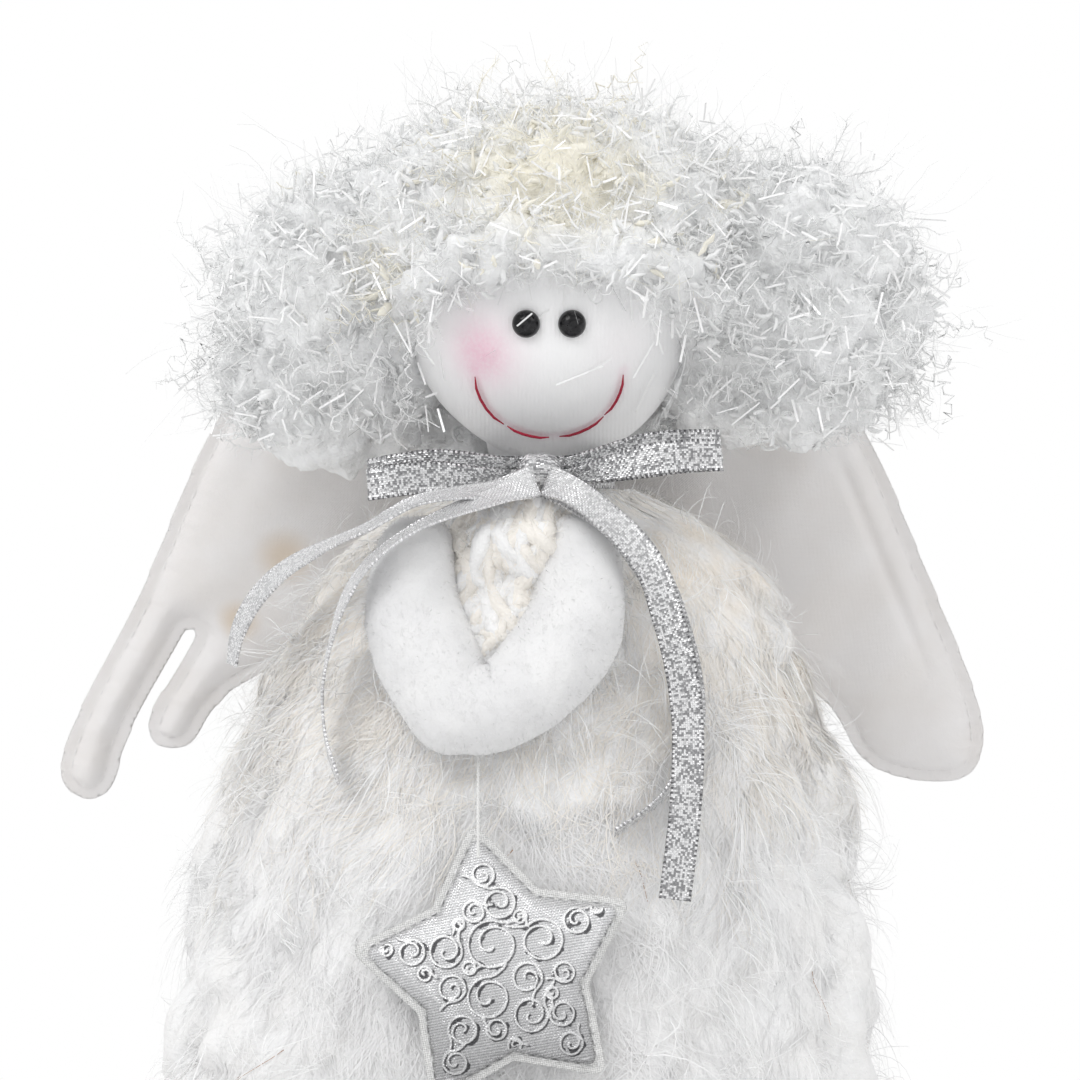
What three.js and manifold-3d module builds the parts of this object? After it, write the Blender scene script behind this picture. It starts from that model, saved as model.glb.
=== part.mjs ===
// Yarn angel figurine: a stuffed cloth doll that stands on a weighted, padded body under a knitted dress.
// A jersey head with bead eyes and yarn hair sits on a neck ball, the arms hang from the shoulders with the
// hands sewn together, a padded star hangs from the hands on a thread, and two padded satin wings are sewn to
// a felt tab on the back. Millimetres, +Z up, the face looks along -Y, the origin is the middle of the base.
import * as THREE from "three";
import { mergeVertices } from "three/addons/utils/BufferGeometryUtils.js";
import Module from "manifold-3d";

// Clearances
const GAP = 0.3; // between pieces that touch on the real doll
const SOFT_GAP = 0.6; // between nested faceted pieces

// Dress and body: half widths of the knitted dress at five heights
const HEM_RADIUS = 66;
const HIP_RADIUS = 63;
const CHEST_RADIUS = 57;
const SHOULDER_RADIUS = 44;
const COLLAR_RADIUS = 22;
const HIP_HEIGHT = 85;
const CHEST_HEIGHT = 145;
const SHOULDER_HEIGHT = 180;
const COLLAR_RISE = 23; // collar above the shoulder line
const COLLAR_HEIGHT = SHOULDER_HEIGHT + COLLAR_RISE;
const BODY_DEPTH = 0.78; // front-to-back size as a share of the width
const COLLAR_LEAN = 5; // how far the collar stands to the doll's left of the hem
const KNIT = 7; // thickness of the knitted dress with its pile pressed
const TUFT_ROWS = 7;
const TUFT_STEP = 21; // from one row of tufts to the next, and along the hem
const TUFT_FIRST = 16; // middle of the lowest row above the table
const TUFT_SIZE = [20, 27]; // width and length of a tuft
const TUFT_RISE = 4.3; // how far a tuft stands out
const TUFT_SUNK = 0.4; // how far its middle lies under the surface
const TUFT_DROOP = 5; // how far its peak hangs below its middle
const BARE_FRONT = [0, 0, 0, 0.95, 0.95, 1.1, 1.25]; // half of the bare front of each row, as an angle
const BARE_BACK = [0, 0, 0, 0, 0, 0, 0.9];
const COVER_WALL = 1.2; // cotton of the body bag
const BASE_PANEL = 1.5; // cloth that closes the body bag below
const BASE_CARD = 2.5; // stiff card inside the base
const PELLET_HEIGHT = 34; // bag of pellets that keeps the doll upright
const PELLET_ROUND = 8;

// Neck and head
const NECK_RADIUS = 9;
const NECK_SUNK = 13; // how far the neck goes down inside the collar
const NECK_FOOT = COLLAR_HEIGHT - NECK_SUNK;
const NECK_BACK = -2; // y of the neck's axis
const NECK_BALL = 10; // rounded top of the neck, on which the head tilts
const TILT_RISE = 11; // middle of the ball above the collar
const TILT_HEIGHT = COLLAR_HEIGHT + TILT_RISE;
const HEAD_WIDTH = 58;
const HEAD_DEPTH = 56;
const HEAD_HEIGHT = 61;
const HEAD_OFFSET = [1.8, -7, 26]; // middle of the head from the middle of the neck ball
const HEAD_SKIN = 1.4;

// Face: places on the head as seen from the front, from the middle of the head
const EYE_RADIUS = 2.8;
const EYE_HEIGHT = 3.4;
const EYE_SPACING = 9;
const EYE_LEVEL = -4;
const SMILE_HALF_WIDTH = 15;
const SMILE_DROP = 13;
const SMILE_LEVEL = -13.5;
const SMILE_THREAD = 0.9;

// Hair: a crown over the skull, a rolled fringe on the brow and a bunch at each side
const CROWN_SIZE = [88, 68, 62];
const CROWN_OFFSET = [0, 7, 9];
const CROWN_BOTTOM = -23; // lower edge behind the head, from the middle of the head
const FACE_WINDOW = [57, 48];
const FACE_WINDOW_LEVEL = -16;
const FRINGE_RADIUS = 5.5;
const FRINGE_TOP = 10.5;
const FRINGE_FALL = 9.5;
const FRINGE_SWEEP = 65; // degrees to each side of the nose
const LEFT_BUNCH_SIZE = [50, 30, 60];
const LEFT_BUNCH_OFFSET = [-43, 6, -4];
const RIGHT_BUNCH_SIZE = [64, 30, 58];
const RIGHT_BUNCH_OFFSET = [45, 6, 0];

// Arms: centre lines on the front of the dress, as pairs of x and height from the shoulder line
const ARM_RADIUS = 9;
const ARM_SWELL = 0.6;
const ARM_LINE_LEFT = [
  [-19.6, 10],
  [-21, -3],
  [-16.5, -14.5],
  [-12.8, -21.2],
];
const ARM_LINE_RIGHT = [
  [12.4, 10],
  [12.6, -4],
  [4, -16],
  [-6.4, -21.4],
];

// Star on its thread
const STAR_RADIUS = 30;
const STAR_NOTCH = 0.6; // notch radius as a share of the tip radius
const STAR_TURN = 10; // degrees that the star hangs askew
const STAR_PUFF = 4.6;
const STAR_CROWN = 0.5; // flat middle of the padding as a share of the star
const STAR_SKIN = 0.7;
const STAR_BORDER = 2.6;
const STAR_BORDER_THICKNESS = 1;
const STAR_HOLE = 7; // from the tip down to the thread's knot
const STAR_STANDOFF = 1; // from the dress
const THREAD = 0.9;
const THREAD_LENGTH = 19;
const THREAD_X = -7.2;

// Wings, as drawn on the right: the root seam is u = 0 and the middle of the seam is v = 0
const SEAM_X = 12;
const SEAM_RISE = 9; // middle of the seam above the shoulder line
const SEAM_HEIGHT = SHOULDER_HEIGHT + SEAM_RISE;
const SEAM_HALF = 17.5;
const WING_SPAN = 89;
const WING_CREST = 43;
const WING_DROP = 52;
const WING_LEAN = 20; // degrees, top forward
const WING_SWEEP = 6; // degrees, tip backward
const WING_PUFF = 4.4;
const WING_BEVEL = 1.5;
const WING_FLANGE = 1.5;
const WING_FLANGE_THICKNESS = 1.5;
const WING_SKIN = 0.6;
const WING_FREEDOM = 0.6; // gap at the seam that lets the wing fold
const TAB_THICKNESS = 12; // before it is trimmed to the back of the dress

// Ribbon
const RIBBON_WIDTH = 6.4;
const RIBBON = 0.6; // thickness
const COLLAR_RING = [30, 46]; // outer width and depth of the ribbon round the neck
const COLLAR_RING_FORWARD = 8; // from the neck's axis to the middle of that ribbon
const KNOT_RISE = 3.6; // middle of the knot above the collar
const KNOT_SIZE = [9, 6, 8.4];
const LOOP_OPEN = 4; // how far a bow loop stands open
const LOOP_SPREAD = 7; // degrees that the two loops of a side stand apart from the middle
const LOOP_STEP = 2.4; // the two loops of a side stand this far apart in height
const RIGHT_LOOP_LENGTH = 31;
const RIGHT_LOOP_RISE = 8; // degrees
const LEFT_LOOP_LENGTH = 29;
const LEFT_LOOP_RISE = -3;

// Facets
const BODY_SIDES = 28;
const DRESS_RINGS = 8;
const HEAD_SIDES = 20;
const HEAD_RINGS = 12;
const LIMB_SIDES = 10;
const LIMB_STEPS = 8;
const CAP_STEPS = 2;
const TUFT_SIDES = 6;
const TUFT_RINGS = 3;
const OUTLINE_STEPS = 3;
const BEVEL_STEPS = 2;

// Solids: closed geometry becomes a manifold solid to be joined and cut, and comes back as geometry
const wasm = await Module();
wasm.setup();

function solidOf(geometry) {
  const loose = geometry.index ? geometry.toNonIndexed() : geometry;
  const bare = new THREE.BufferGeometry().setAttribute("position", loose.getAttribute("position"));
  const merged = mergeVertices(bare, 1e-4);
  const corners = merged.index.array;
  const kept = [];
  for (let i = 0; i < corners.length; i += 3) {
    const [a, b, c] = corners.slice(i, i + 3);
    if (a !== b && b !== c && c !== a) kept.push(a, b, c);
  }
  const vertProperties = merged.getAttribute("position").array;
  return new wasm.Manifold(new wasm.Mesh({ numProp: 3, vertProperties, triVerts: new Uint32Array(kept) }));
}

function geometryOf(solid) {
  const mesh = solid.getMesh();
  const points = new Float32Array(mesh.vertProperties);
  return new THREE.BufferGeometry()
    .setAttribute("position", new THREE.BufferAttribute(points, 3))
    .setIndex(new THREE.BufferAttribute(new Uint32Array(mesh.triVerts), 1));
}

const minus = (geometry, ...cutters) =>
  geometryOf(cutters.reduce((left, cutter) => left.subtract(solidOf(cutter)), solidOf(geometry)));

const joined = (first, ...others) =>
  geometryOf(others.reduce((left, other) => left.add(solidOf(other)), solidOf(first)));

const within = (geometry, limit) => geometryOf(solidOf(geometry).intersect(solidOf(limit)));

// Forms
const degrees = THREE.MathUtils.degToRad;

// A solid of revolution about Z from [radius, height] pairs that run up the outside.
const revolve = (profile, sides) =>
  new THREE.LatheGeometry(profile.map(([r, z]) => new THREE.Vector2(r, z)), sides).rotateX(Math.PI / 2);

const ellipsoid = ([width, depth, height], [x, y, z], sides = HEAD_SIDES, rings = HEAD_RINGS) =>
  new THREE.SphereGeometry(0.5, sides, rings)
    .rotateX(Math.PI / 2)
    .scale(width, depth, height)
    .translate(x, y, z);

const grown = (size, by) => size.map((length) => length + 2 * by);

// A closed skin over rings of points, each ring counter-clockwise about the way that the rings run.
function loft(rings) {
  const sides = rings[0].length;
  const middle = (ring) => ring.reduce((sum, p) => sum.add(p), new THREE.Vector3()).divideScalar(sides);
  const last = rings.length - 1;
  const points = [...rings.flat(), middle(rings[0]), middle(rings[last])];
  const [foot, top] = [points.length - 2, points.length - 1];
  const faces = [];
  for (let j = 0; j < sides; j++) {
    const next = (j + 1) % sides;
    for (let i = 0; i < last; i++) {
      const [a, b] = [i * sides + j, i * sides + next];
      faces.push(a, b, b + sides, a, b + sides, a + sides);
    }
    faces.push(foot, next, j, top, last * sides + j, last * sides + next);
  }
  return new THREE.BufferGeometry().setFromPoints(points).setIndex(faces);
}

// A stuffed tube along a curve, with round ends centred on the curve's ends.
function limb(curve, radiusAt) {
  const frames = curve.computeFrenetFrames(LIMB_STEPS);
  const capReach = (k) => Math.cos((k * Math.PI) / 2 / (CAP_STEPS + 1));
  const stations = [];
  for (let k = 1; k <= CAP_STEPS; k++) stations.push([0, -capReach(k)]);
  for (let i = 0; i <= LIMB_STEPS; i++) stations.push([i, 0]);
  for (let k = CAP_STEPS; k >= 1; k--) stations.push([LIMB_STEPS, capReach(k)]);
  const rings = stations.map(([step, reach]) => {
    const radius = radiusAt(step / LIMB_STEPS);
    const centre = curve.getPointAt(step / LIMB_STEPS).addScaledVector(frames.tangents[step], reach * radius);
    const across = radius * Math.sqrt(1 - reach * reach);
    return Array.from({ length: LIMB_SIDES }, (_, j) => {
      const turn = (j * 2 * Math.PI) / LIMB_SIDES;
      return centre
        .clone()
        .addScaledVector(frames.normals[step], across * Math.cos(turn))
        .addScaledVector(frames.binormals[step], across * Math.sin(turn));
    });
  });
  return loft(rings);
}

// A flat ribbon along a route of points, each with the direction that its face looks in
function strip(route) {
  const places = new THREE.CatmullRomCurve3(route.map(([p]) => new THREE.Vector3(...p)));
  const faces = new THREE.CatmullRomCurve3(route.map(([, n]) => new THREE.Vector3(...n)));
  const steps = 2 * (route.length - 1);
  const rings = [];
  for (let i = 0; i <= steps; i++) {
    const along = places.getTangent(i / steps);
    const through = faces.getPoint(i / steps);
    const across = new THREE.Vector3().crossVectors(through, along).setLength(RIBBON_WIDTH / 2);
    through.crossVectors(along, across).setLength(RIBBON / 2);
    const centre = places.getPoint(i / steps);
    const corners = [[1, 1], [-1, 1], [-1, -1], [1, -1]];
    const corner = ([w, t]) => centre.clone().addScaledVector(across, w).addScaledVector(through, t);
    rings.push(corners.map(corner));
  }
  return loft(rings);
}

// A plate with the given outline, in the middle of its thickness
const plateOf = (outline, thickness) =>
  new THREE.ExtrudeGeometry(outline, { depth: thickness, bevelEnabled: false, curveSegments: OUTLINE_STEPS })
    .translate(0, 0, -thickness / 2);

// A cloth pair sewn at its edge: two skins with a flange round a crown, and the filling between them.
// The crown is given as a solid by its inset from the outline and its height to each side.
function paddedPair(plate, crownOf, { puff, flange, skin }) {
  const whole = joined(plate, crownOf(flange, puff));
  const hollow = crownOf(flange + skin, puff - skin);
  const reach = 400;
  const half = (side) =>
    new THREE.BoxGeometry(reach, reach, reach).translate(0, 0, side * (reach / 2 + GAP / 2));
  return {
    front: minus(within(whole, half(1)), hollow),
    back: minus(within(whole, half(-1)), hollow),
    filling: crownOf(flange + skin + SOFT_GAP, puff - skin - SOFT_GAP),
  };
}

// Dress shape
const dressLine = new THREE.SplineCurve(
  [
    [HEM_RADIUS, 0],
    [HIP_RADIUS, HIP_HEIGHT],
    [CHEST_RADIUS, CHEST_HEIGHT],
    [SHOULDER_RADIUS, SHOULDER_HEIGHT],
    [COLLAR_RADIUS, COLLAR_HEIGHT],
  ].map(([r, z]) => new THREE.Vector2(r, z)),
).getPoints(DRESS_RINGS);

function dressRadius(z) {
  const above = dressLine.findIndex((p) => p.y > z);
  if (above <= 0) return above === 0 ? HEM_RADIUS : COLLAR_RADIUS;
  const [low, high] = [dressLine[above - 1], dressLine[above]];
  return THREE.MathUtils.mapLinear(z, low.y, high.y, low.x, high.x);
}

const leanSlope = COLLAR_LEAN / COLLAR_HEIGHT;
const axisX = (z) => leanSlope * z;
const lean = new THREE.Matrix4().makeShear(0, 0, 0, 0, leanSlope, 0);
const bodyOf = (profile) => revolve(profile, BODY_SIDES).scale(1, BODY_DEPTH, 1).applyMatrix4(lean);

// [radius, height] pairs up the dress, drawn in by an inset
function bodyLine(inset, from, to) {
  const levels = dressLine.map((p) => p.y).filter((z) => z > from + GAP && z < to - GAP);
  return [from, ...levels, to].map((z) => [dressRadius(z) - inset, z]);
}

// The y at which a ball rests against the front of the dress
function restOnDress(x, z, radius) {
  const steps = 12;
  let y = 0;
  for (let i = -steps; i <= steps; i++) {
    for (let j = -steps; j <= steps; j++) {
      const [dx, dz] = [(i / steps) * radius, (j / steps) * radius];
      const out = radius ** 2 - dx ** 2 - dz ** 2;
      const side = x + dx - axisX(z + dz);
      const chord = dressRadius(z + dz) ** 2 - side ** 2;
      if (out > 0 && chord > 0) y = Math.min(y, -BODY_DEPTH * Math.sqrt(chord) - Math.sqrt(out));
    }
  }
  return y;
}

// Materials
const cloth = (color, roughness = 0.9, metalness = 0) =>
  new THREE.MeshStandardMaterial({ color, roughness, metalness });
const furYarn = cloth(0xf2f0ec, 0.95);
const hairYarn = cloth(0xecebe6, 0.85);
const jersey = cloth(0xf4f2f2, 0.9);
const fleece = cloth(0xf3f3f1, 0.95);
const satin = cloth(0xf0eef0, 0.45);
const wadding = cloth(0xf7f6f2, 1);
const cotton = cloth(0xd8c3a0, 0.95);
const felt = cloth(0xe9e6e2, 1);
const card = cloth(0xb59a72, 0.9);
const pellets = cloth(0xd9d5cc, 0.7);
const lurex = cloth(0xc4c4c6, 0.35, 0.8);
const lame = cloth(0xc2c3c6, 0.3, 0.85);
const organza = cloth(0xe4e4e2, 0.5);
const bead = cloth(0x0b0b0c, 0.15);
const redThread = cloth(0xb3263f, 0.7);
const whiteThread = cloth(0xefeeea, 0.7);

const angel = new THREE.Group();

function add(name, geometry, material, parent = angel) {
  const mesh = new THREE.Mesh(geometry, material);
  mesh.name = name;
  parent.add(mesh);
  return mesh;
}

// Base and body, from the table up
const cardBottom = BASE_PANEL + GAP;
const pelletBottom = cardBottom + BASE_CARD + GAP;
const pelletTop = pelletBottom + PELLET_HEIGHT;
const coverInset = KNIT + GAP;
const fillInset = coverInset + COVER_WALL + SOFT_GAP;
const coverTop = COLLAR_HEIGHT - COVER_WALL;
const neckHole = NECK_RADIUS + SOFT_GAP;
const neckX = axisX(COLLAR_HEIGHT);

const disc = (radius, bottom, thickness) =>
  bodyOf([
    [0, bottom],
    [radius, bottom],
    [radius, bottom + thickness],
    [0, bottom + thickness],
  ]);
add("base_panel", disc(HEM_RADIUS - coverInset, 0, BASE_PANEL), cotton);
add("base_card", disc(dressRadius(cardBottom) - fillInset, cardBottom, BASE_CARD), card);

function pelletBag() {
  const radius = dressRadius(pelletTop) - fillInset;
  const corner = (centre, from) =>
    Array.from({ length: 4 }, (_, i) => {
      const turn = from + (i * Math.PI) / 6;
      return [radius - PELLET_ROUND + PELLET_ROUND * Math.cos(turn), centre + PELLET_ROUND * Math.sin(turn)];
    });
  return bodyOf([
    [0, pelletBottom],
    ...corner(pelletBottom + PELLET_ROUND, -Math.PI / 2),
    ...corner(pelletTop - PELLET_ROUND, 0),
    [0, pelletTop],
  ]);
}
add("pellet_bag", pelletBag(), pellets);

const fillTop = NECK_FOOT - GAP;
add(
  "body_stuffing",
  bodyOf([[0, pelletTop + GAP], ...bodyLine(fillInset, pelletTop + GAP, fillTop), [0, fillTop]]),
  wadding,
);

function bodyCover() {
  const outside = bodyLine(coverInset, cardBottom, coverTop);
  const inside = bodyLine(coverInset + COVER_WALL, cardBottom, coverTop - COVER_WALL);
  const bag = bodyOf([[0, coverTop - COVER_WALL], ...inside.reverse(), ...outside, [0, coverTop]]);
  const throat = new THREE.CylinderGeometry(neckHole, neckHole, COLLAR_HEIGHT, HEAD_SIDES)
    .rotateX(Math.PI / 2)
    .translate(neckX, NECK_BACK, COLLAR_HEIGHT);
  return minus(bag, throat);
}
add("body_cover", bodyCover(), cotton);

function dressShell() {
  const outside = bodyLine(0, 0, COLLAR_HEIGHT);
  const inside = bodyLine(KNIT, 0, COLLAR_HEIGHT);
  return bodyOf([...inside.reverse(), ...outside, [COLLAR_RADIUS - KNIT, COLLAR_HEIGHT]]);
}

// A tuft of the pile at a turn about the dress, where a quarter turn back is the front
function tuft(turn, z) {
  const radius = dressRadius(z);
  const height = TUFT_RISE + TUFT_SUNK;
  const upward = new THREE.Vector3(0, 0, 1);
  const outward = new THREE.Vector3(Math.cos(turn), Math.sin(turn) / BODY_DEPTH, 0).normalize();
  const across = new THREE.Vector3().crossVectors(outward, upward);
  const middle = new THREE.Vector3(radius * Math.cos(turn), BODY_DEPTH * radius * Math.sin(turn), z);
  middle.x += axisX(z);
  return new THREE.SphereGeometry(1, TUFT_SIDES, TUFT_RINGS)
    .scale(TUFT_SIZE[0] / 2, height, TUFT_SIZE[1] / 2)
    .applyMatrix4(new THREE.Matrix4().makeShear(0, 0, 0, -TUFT_DROOP / height, 0, 0))
    .applyMatrix4(new THREE.Matrix4().makeBasis(across, outward, upward))
    .translate(...middle.addScaledVector(outward, -TUFT_SUNK));
}

// Staggered rows of tufts, clear of the star, the arms, the ribbon and the wings
function tufts() {
  const count = Math.round((Math.PI * HEM_RADIUS * (1 + BODY_DEPTH)) / TUFT_STEP);
  const all = [];
  for (let row = 0; row < TUFT_ROWS; row++) {
    for (let i = 0; i < count; i++) {
      const turn = ((i + (row % 2) / 2) / count) * 2 * Math.PI;
      const fromFront = Math.acos(-Math.sin(turn));
      if (fromFront < BARE_FRONT[row] || Math.PI - fromFront < BARE_BACK[row]) continue;
      all.push(tuft(turn, TUFT_FIRST + row * TUFT_STEP));
    }
  }
  return all;
}
add("dress", joined(dressShell(), ...tufts()), furYarn);

// Neck, with a ball end under the head
const ballStart = -Math.acos(NECK_RADIUS / NECK_BALL);
const ballArc = Array.from({ length: 7 }, (_, i) => {
  const turn = THREE.MathUtils.lerp(ballStart, Math.PI / 2, i / 6);
  return [i === 6 ? 0 : NECK_BALL * Math.cos(turn), TILT_HEIGHT + NECK_BALL * Math.sin(turn)];
});
const neckProfile = [[0, NECK_FOOT], [NECK_RADIUS, NECK_FOOT], ...ballArc];
add("neck", revolve(neckProfile, HEAD_SIDES).translate(neckX, NECK_BACK, 0), jersey);

// Head
const head = new THREE.Group();
const tiltPoint = [neckX, NECK_BACK, TILT_HEIGHT];
const headMiddle = tiltPoint.map((v, i) => v + HEAD_OFFSET[i]);
const headSize = [HEAD_WIDTH, HEAD_DEPTH, HEAD_HEIGHT];
const socketSize = Array(3).fill(2 * (NECK_BALL + SOFT_GAP));
const headBlock = (by) => ellipsoid(grown(headSize, by), headMiddle);
const socket = ellipsoid(socketSize, tiltPoint);
add("head_skin", minus(headBlock(0), headBlock(-HEAD_SKIN), socket), jersey, head);
add("head_stuffing", minus(headBlock(-HEAD_SKIN - SOFT_GAP), socket), wadding, head);

// A point on the front of the head, out by some distance, from its place seen from the front, and its normal
function onFace(across, up, out) {
  const half = headSize.map((length) => length / 2);
  const forward = Math.sqrt(1 - (across / half[0]) ** 2 - (up / half[2]) ** 2);
  const normal = new THREE.Vector3(across / half[0] ** 2, -forward / half[1], up / half[2] ** 2).normalize();
  const point = new THREE.Vector3(across, -forward * half[1], up).add(new THREE.Vector3(...headMiddle));
  return { point: point.addScaledVector(normal, out), normal };
}

function eye(name, side) {
  const dome = Array.from({ length: 5 }, (_, i) => {
    const turn = (i * Math.PI) / 8;
    return [i === 4 ? 0 : EYE_RADIUS * Math.cos(turn), EYE_HEIGHT * (0.3 + 0.7 * Math.sin(turn))];
  });
  const { point, normal } = onFace((side * EYE_SPACING) / 2, EYE_LEVEL, GAP);
  const mesh = add(name, revolve([[0, 0], [0.85 * EYE_RADIUS, 0], ...dome], 12), bead, head);
  mesh.position.copy(point);
  mesh.quaternion.setFromUnitVectors(new THREE.Vector3(0, 0, 1), normal);
}
eye("left_eye", -1);
eye("right_eye", 1);

const round = (diameter, sides) =>
  new THREE.Shape(
    Array.from({ length: sides }, (_, i) => {
      const turn = (i * 2 * Math.PI) / sides;
      return new THREE.Vector2(Math.cos(turn), Math.sin(turn)).multiplyScalar(diameter / 2);
    }),
  );

function smile() {
  const points = Array.from({ length: 13 }, (_, i) => {
    const turn = (i * Math.PI) / 12;
    const [across, up] = [-SMILE_HALF_WIDTH * Math.cos(turn), SMILE_LEVEL - SMILE_DROP * Math.sin(turn)];
    return onFace(across, up, GAP + SMILE_THREAD / 2).point;
  });
  const extrudePath = new THREE.CatmullRomCurve3(points);
  return new THREE.ExtrudeGeometry(round(SMILE_THREAD, 6), { extrudePath, steps: 18 });
}
add("smile_thread", smile(), redThread, head);

// Hair
const fromHead = (offset) => headMiddle.map((v, i) => v + offset[i]);

function fringeRoll(by) {
  const points = Array.from({ length: 9 }, (_, i) => {
    const share = (i - 4) / 4;
    const turn = degrees(share * FRINGE_SWEEP);
    const up = FRINGE_TOP - FRINGE_FALL * share ** 2;
    const level = Math.sqrt(1 - (2 * up / HEAD_HEIGHT) ** 2);
    const out = FRINGE_RADIUS + SOFT_GAP;
    return new THREE.Vector3(
      headMiddle[0] + (level * HEAD_WIDTH / 2 + out) * Math.sin(turn),
      headMiddle[1] - (level * HEAD_DEPTH / 2 + out) * Math.cos(turn),
      headMiddle[2] + up,
    );
  });
  const radiusAt = (t) => by + FRINGE_RADIUS * (0.75 + 0.25 * Math.sin(Math.PI * t));
  return limb(new THREE.CatmullRomCurve3(points), radiusAt);
}

const crownCutter = (by) => ellipsoid(grown(CROWN_SIZE, by), fromHead(CROWN_OFFSET));
const headCutter = headBlock(SOFT_GAP);

function crown() {
  const [width, height] = FACE_WINDOW;
  const reach = 2 * HEAD_DEPTH;
  const window = new THREE.CylinderGeometry(0.5, 0.5, reach, HEAD_SIDES)
    .scale(width, 1, height)
    .translate(headMiddle[0], headMiddle[1] - reach / 2, headMiddle[2] + FACE_WINDOW_LEVEL);
  const below = new THREE.BoxGeometry(2 * reach, 2 * reach, reach)
    .translate(headMiddle[0], headMiddle[1], headMiddle[2] + CROWN_BOTTOM - reach / 2);
  return minus(crownCutter(0), headCutter, window, below, fringeRoll(SOFT_GAP));
}
add("hair_crown", crown(), hairYarn, head);
add("hair_fringe", minus(fringeRoll(0), headCutter), hairYarn, head);

const bunch = (size, offset) =>
  minus(ellipsoid(size, fromHead(offset)), headCutter, crownCutter(SOFT_GAP), fringeRoll(SOFT_GAP));
add("hair_bunch_left", bunch(LEFT_BUNCH_SIZE, LEFT_BUNCH_OFFSET), hairYarn, head);
add("hair_bunch_right", bunch(RIGHT_BUNCH_SIZE, RIGHT_BUNCH_OFFSET), hairYarn, head);
angel.add(head);

// Arms: both hang from one line across the shoulders, and the left hand is cut to fit beside the right one
const armReach = ARM_RADIUS + ARM_SWELL + GAP;
const fromShoulder = ([x, up]) => [x, SHOULDER_HEIGHT + up];
const leftLine = ARM_LINE_LEFT.map(fromShoulder);
const rightLine = ARM_LINE_RIGHT.map(fromShoulder);
const shoulderY = Math.min(...[leftLine, rightLine].map(([[x, z]]) => restOnDress(x, z, armReach)));

function arm(line, by) {
  const points = line.map(([x, z], i) => {
    const y = i === 0 ? shoulderY : restOnDress(x, z, armReach);
    return new THREE.Vector3(x, y, z);
  });
  const curve = new THREE.CatmullRomCurve3(points);
  return limb(curve, (t) => by + ARM_RADIUS + ARM_SWELL * Math.sin(Math.PI * t) ** 2);
}
add("right_arm", arm(rightLine, 0), fleece);
add("left_arm", minus(arm(leftLine, 0), arm(rightLine, SOFT_GAP)), fleece);

// Thread and star: the star hangs close to the dress and leans with it
const [handX, handZ] = rightLine.at(-1);
const handY = restOnDress(handX, handZ, armReach);
const threadTop = new THREE.Vector3(THREAD_X, handY, handZ - ARM_RADIUS);
const frontY = (z) => -BODY_DEPTH * dressRadius(z);
const starTop = threadTop.z - THREAD_LENGTH + STAR_HOLE;
const starFoot = starTop - 2 * STAR_RADIUS;
const starLean = Math.atan2(frontY(starTop) - frontY(starFoot), starTop - starFoot);

const starGroup = new THREE.Group();
const knotPoint = new THREE.Vector3(THREAD_X, 0, threadTop.z - THREAD_LENGTH);
knotPoint.y = frontY(knotPoint.z) - STAR_STANDOFF - STAR_PUFF;
starGroup.position.copy(knotPoint);
starGroup.rotation.set(Math.PI / 2 - starLean, 0, 0);
const starFace = new THREE.Group();
starFace.rotation.z = degrees(STAR_TURN);
starGroup.add(starFace);

// The star's outline about the knot, with rounded tips
function starOutline(scale) {
  const centre = new THREE.Vector2(0, STAR_HOLE - STAR_RADIUS);
  const corner = (k, radius) =>
    new THREE.Vector2(0, radius * scale).rotateAround(new THREE.Vector2(), (k * Math.PI) / 5).add(centre);
  const shape = new THREE.Shape();
  for (let k = 0; k < 10; k += 2) {
    const tip = corner(k, STAR_RADIUS);
    const before = corner(k - 1, STAR_RADIUS * STAR_NOTCH);
    const after = corner(k + 1, STAR_RADIUS * STAR_NOTCH);
    const start = tip.clone().lerp(before, 0.18);
    const end = tip.clone().lerp(after, 0.18);
    if (k === 0) shape.moveTo(start.x, start.y);
    else shape.lineTo(start.x, start.y);
    shape.quadraticCurveTo(tip.x, tip.y, end.x, end.y);
    shape.lineTo(after.x, after.y);
  }
  return shape;
}

// The star's padding: its outline drawn in towards the middle as the cloth rounds over to each side
const starPanel = (STAR_RADIUS - STAR_BORDER) / STAR_RADIUS;
function starCrown(inset, height) {
  const centre = new THREE.Vector3(0, STAR_HOLE - STAR_RADIUS, 0);
  const outline = starOutline(starPanel).getPoints(2);
  const edge = 1 - inset / (STAR_RADIUS * STAR_NOTCH);
  const turns = [-90, -60, -30, 0, 30, 60, 90].map(degrees);
  return loft(
    turns.map((turn) => {
      const share = edge * (STAR_CROWN + (1 - STAR_CROWN) * Math.cos(turn));
      const z = height * Math.sin(turn);
      const drawIn = new THREE.Vector3(share, share, 1);
      return outline.map((p) => new THREE.Vector3(p.x, p.y, z).sub(centre).multiply(drawIn).add(centre));
    }),
  );
}
const star = paddedPair(plateOf(starOutline(starPanel), STAR_BORDER_THICKNESS), starCrown, {
  puff: STAR_PUFF,
  flange: GAP,
  skin: STAR_SKIN,
});
add("star_front", star.front, lame, starFace);
add("star_back", star.back, lame, starFace);
add("star_filling", star.filling, wadding, starFace);

const borderShape = starOutline(1);
borderShape.holes.push(starOutline(starPanel + GAP / STAR_RADIUS));
add("star_border", plateOf(borderShape, STAR_BORDER_THICKNESS), organza, starFace);
angel.add(starGroup);

const starFront = knotPoint.clone().add(
  new THREE.Vector3(0, 0, STAR_PUFF + GAP + THREAD / 2).applyEuler(starGroup.rotation),
);
threadTop.z -= GAP;
const extrudePath = new THREE.CatmullRomCurve3([threadTop, starFront]);
add("star_thread", new THREE.ExtrudeGeometry(round(THREAD, 8), { extrudePath, steps: 3 }), whiteThread);

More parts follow.
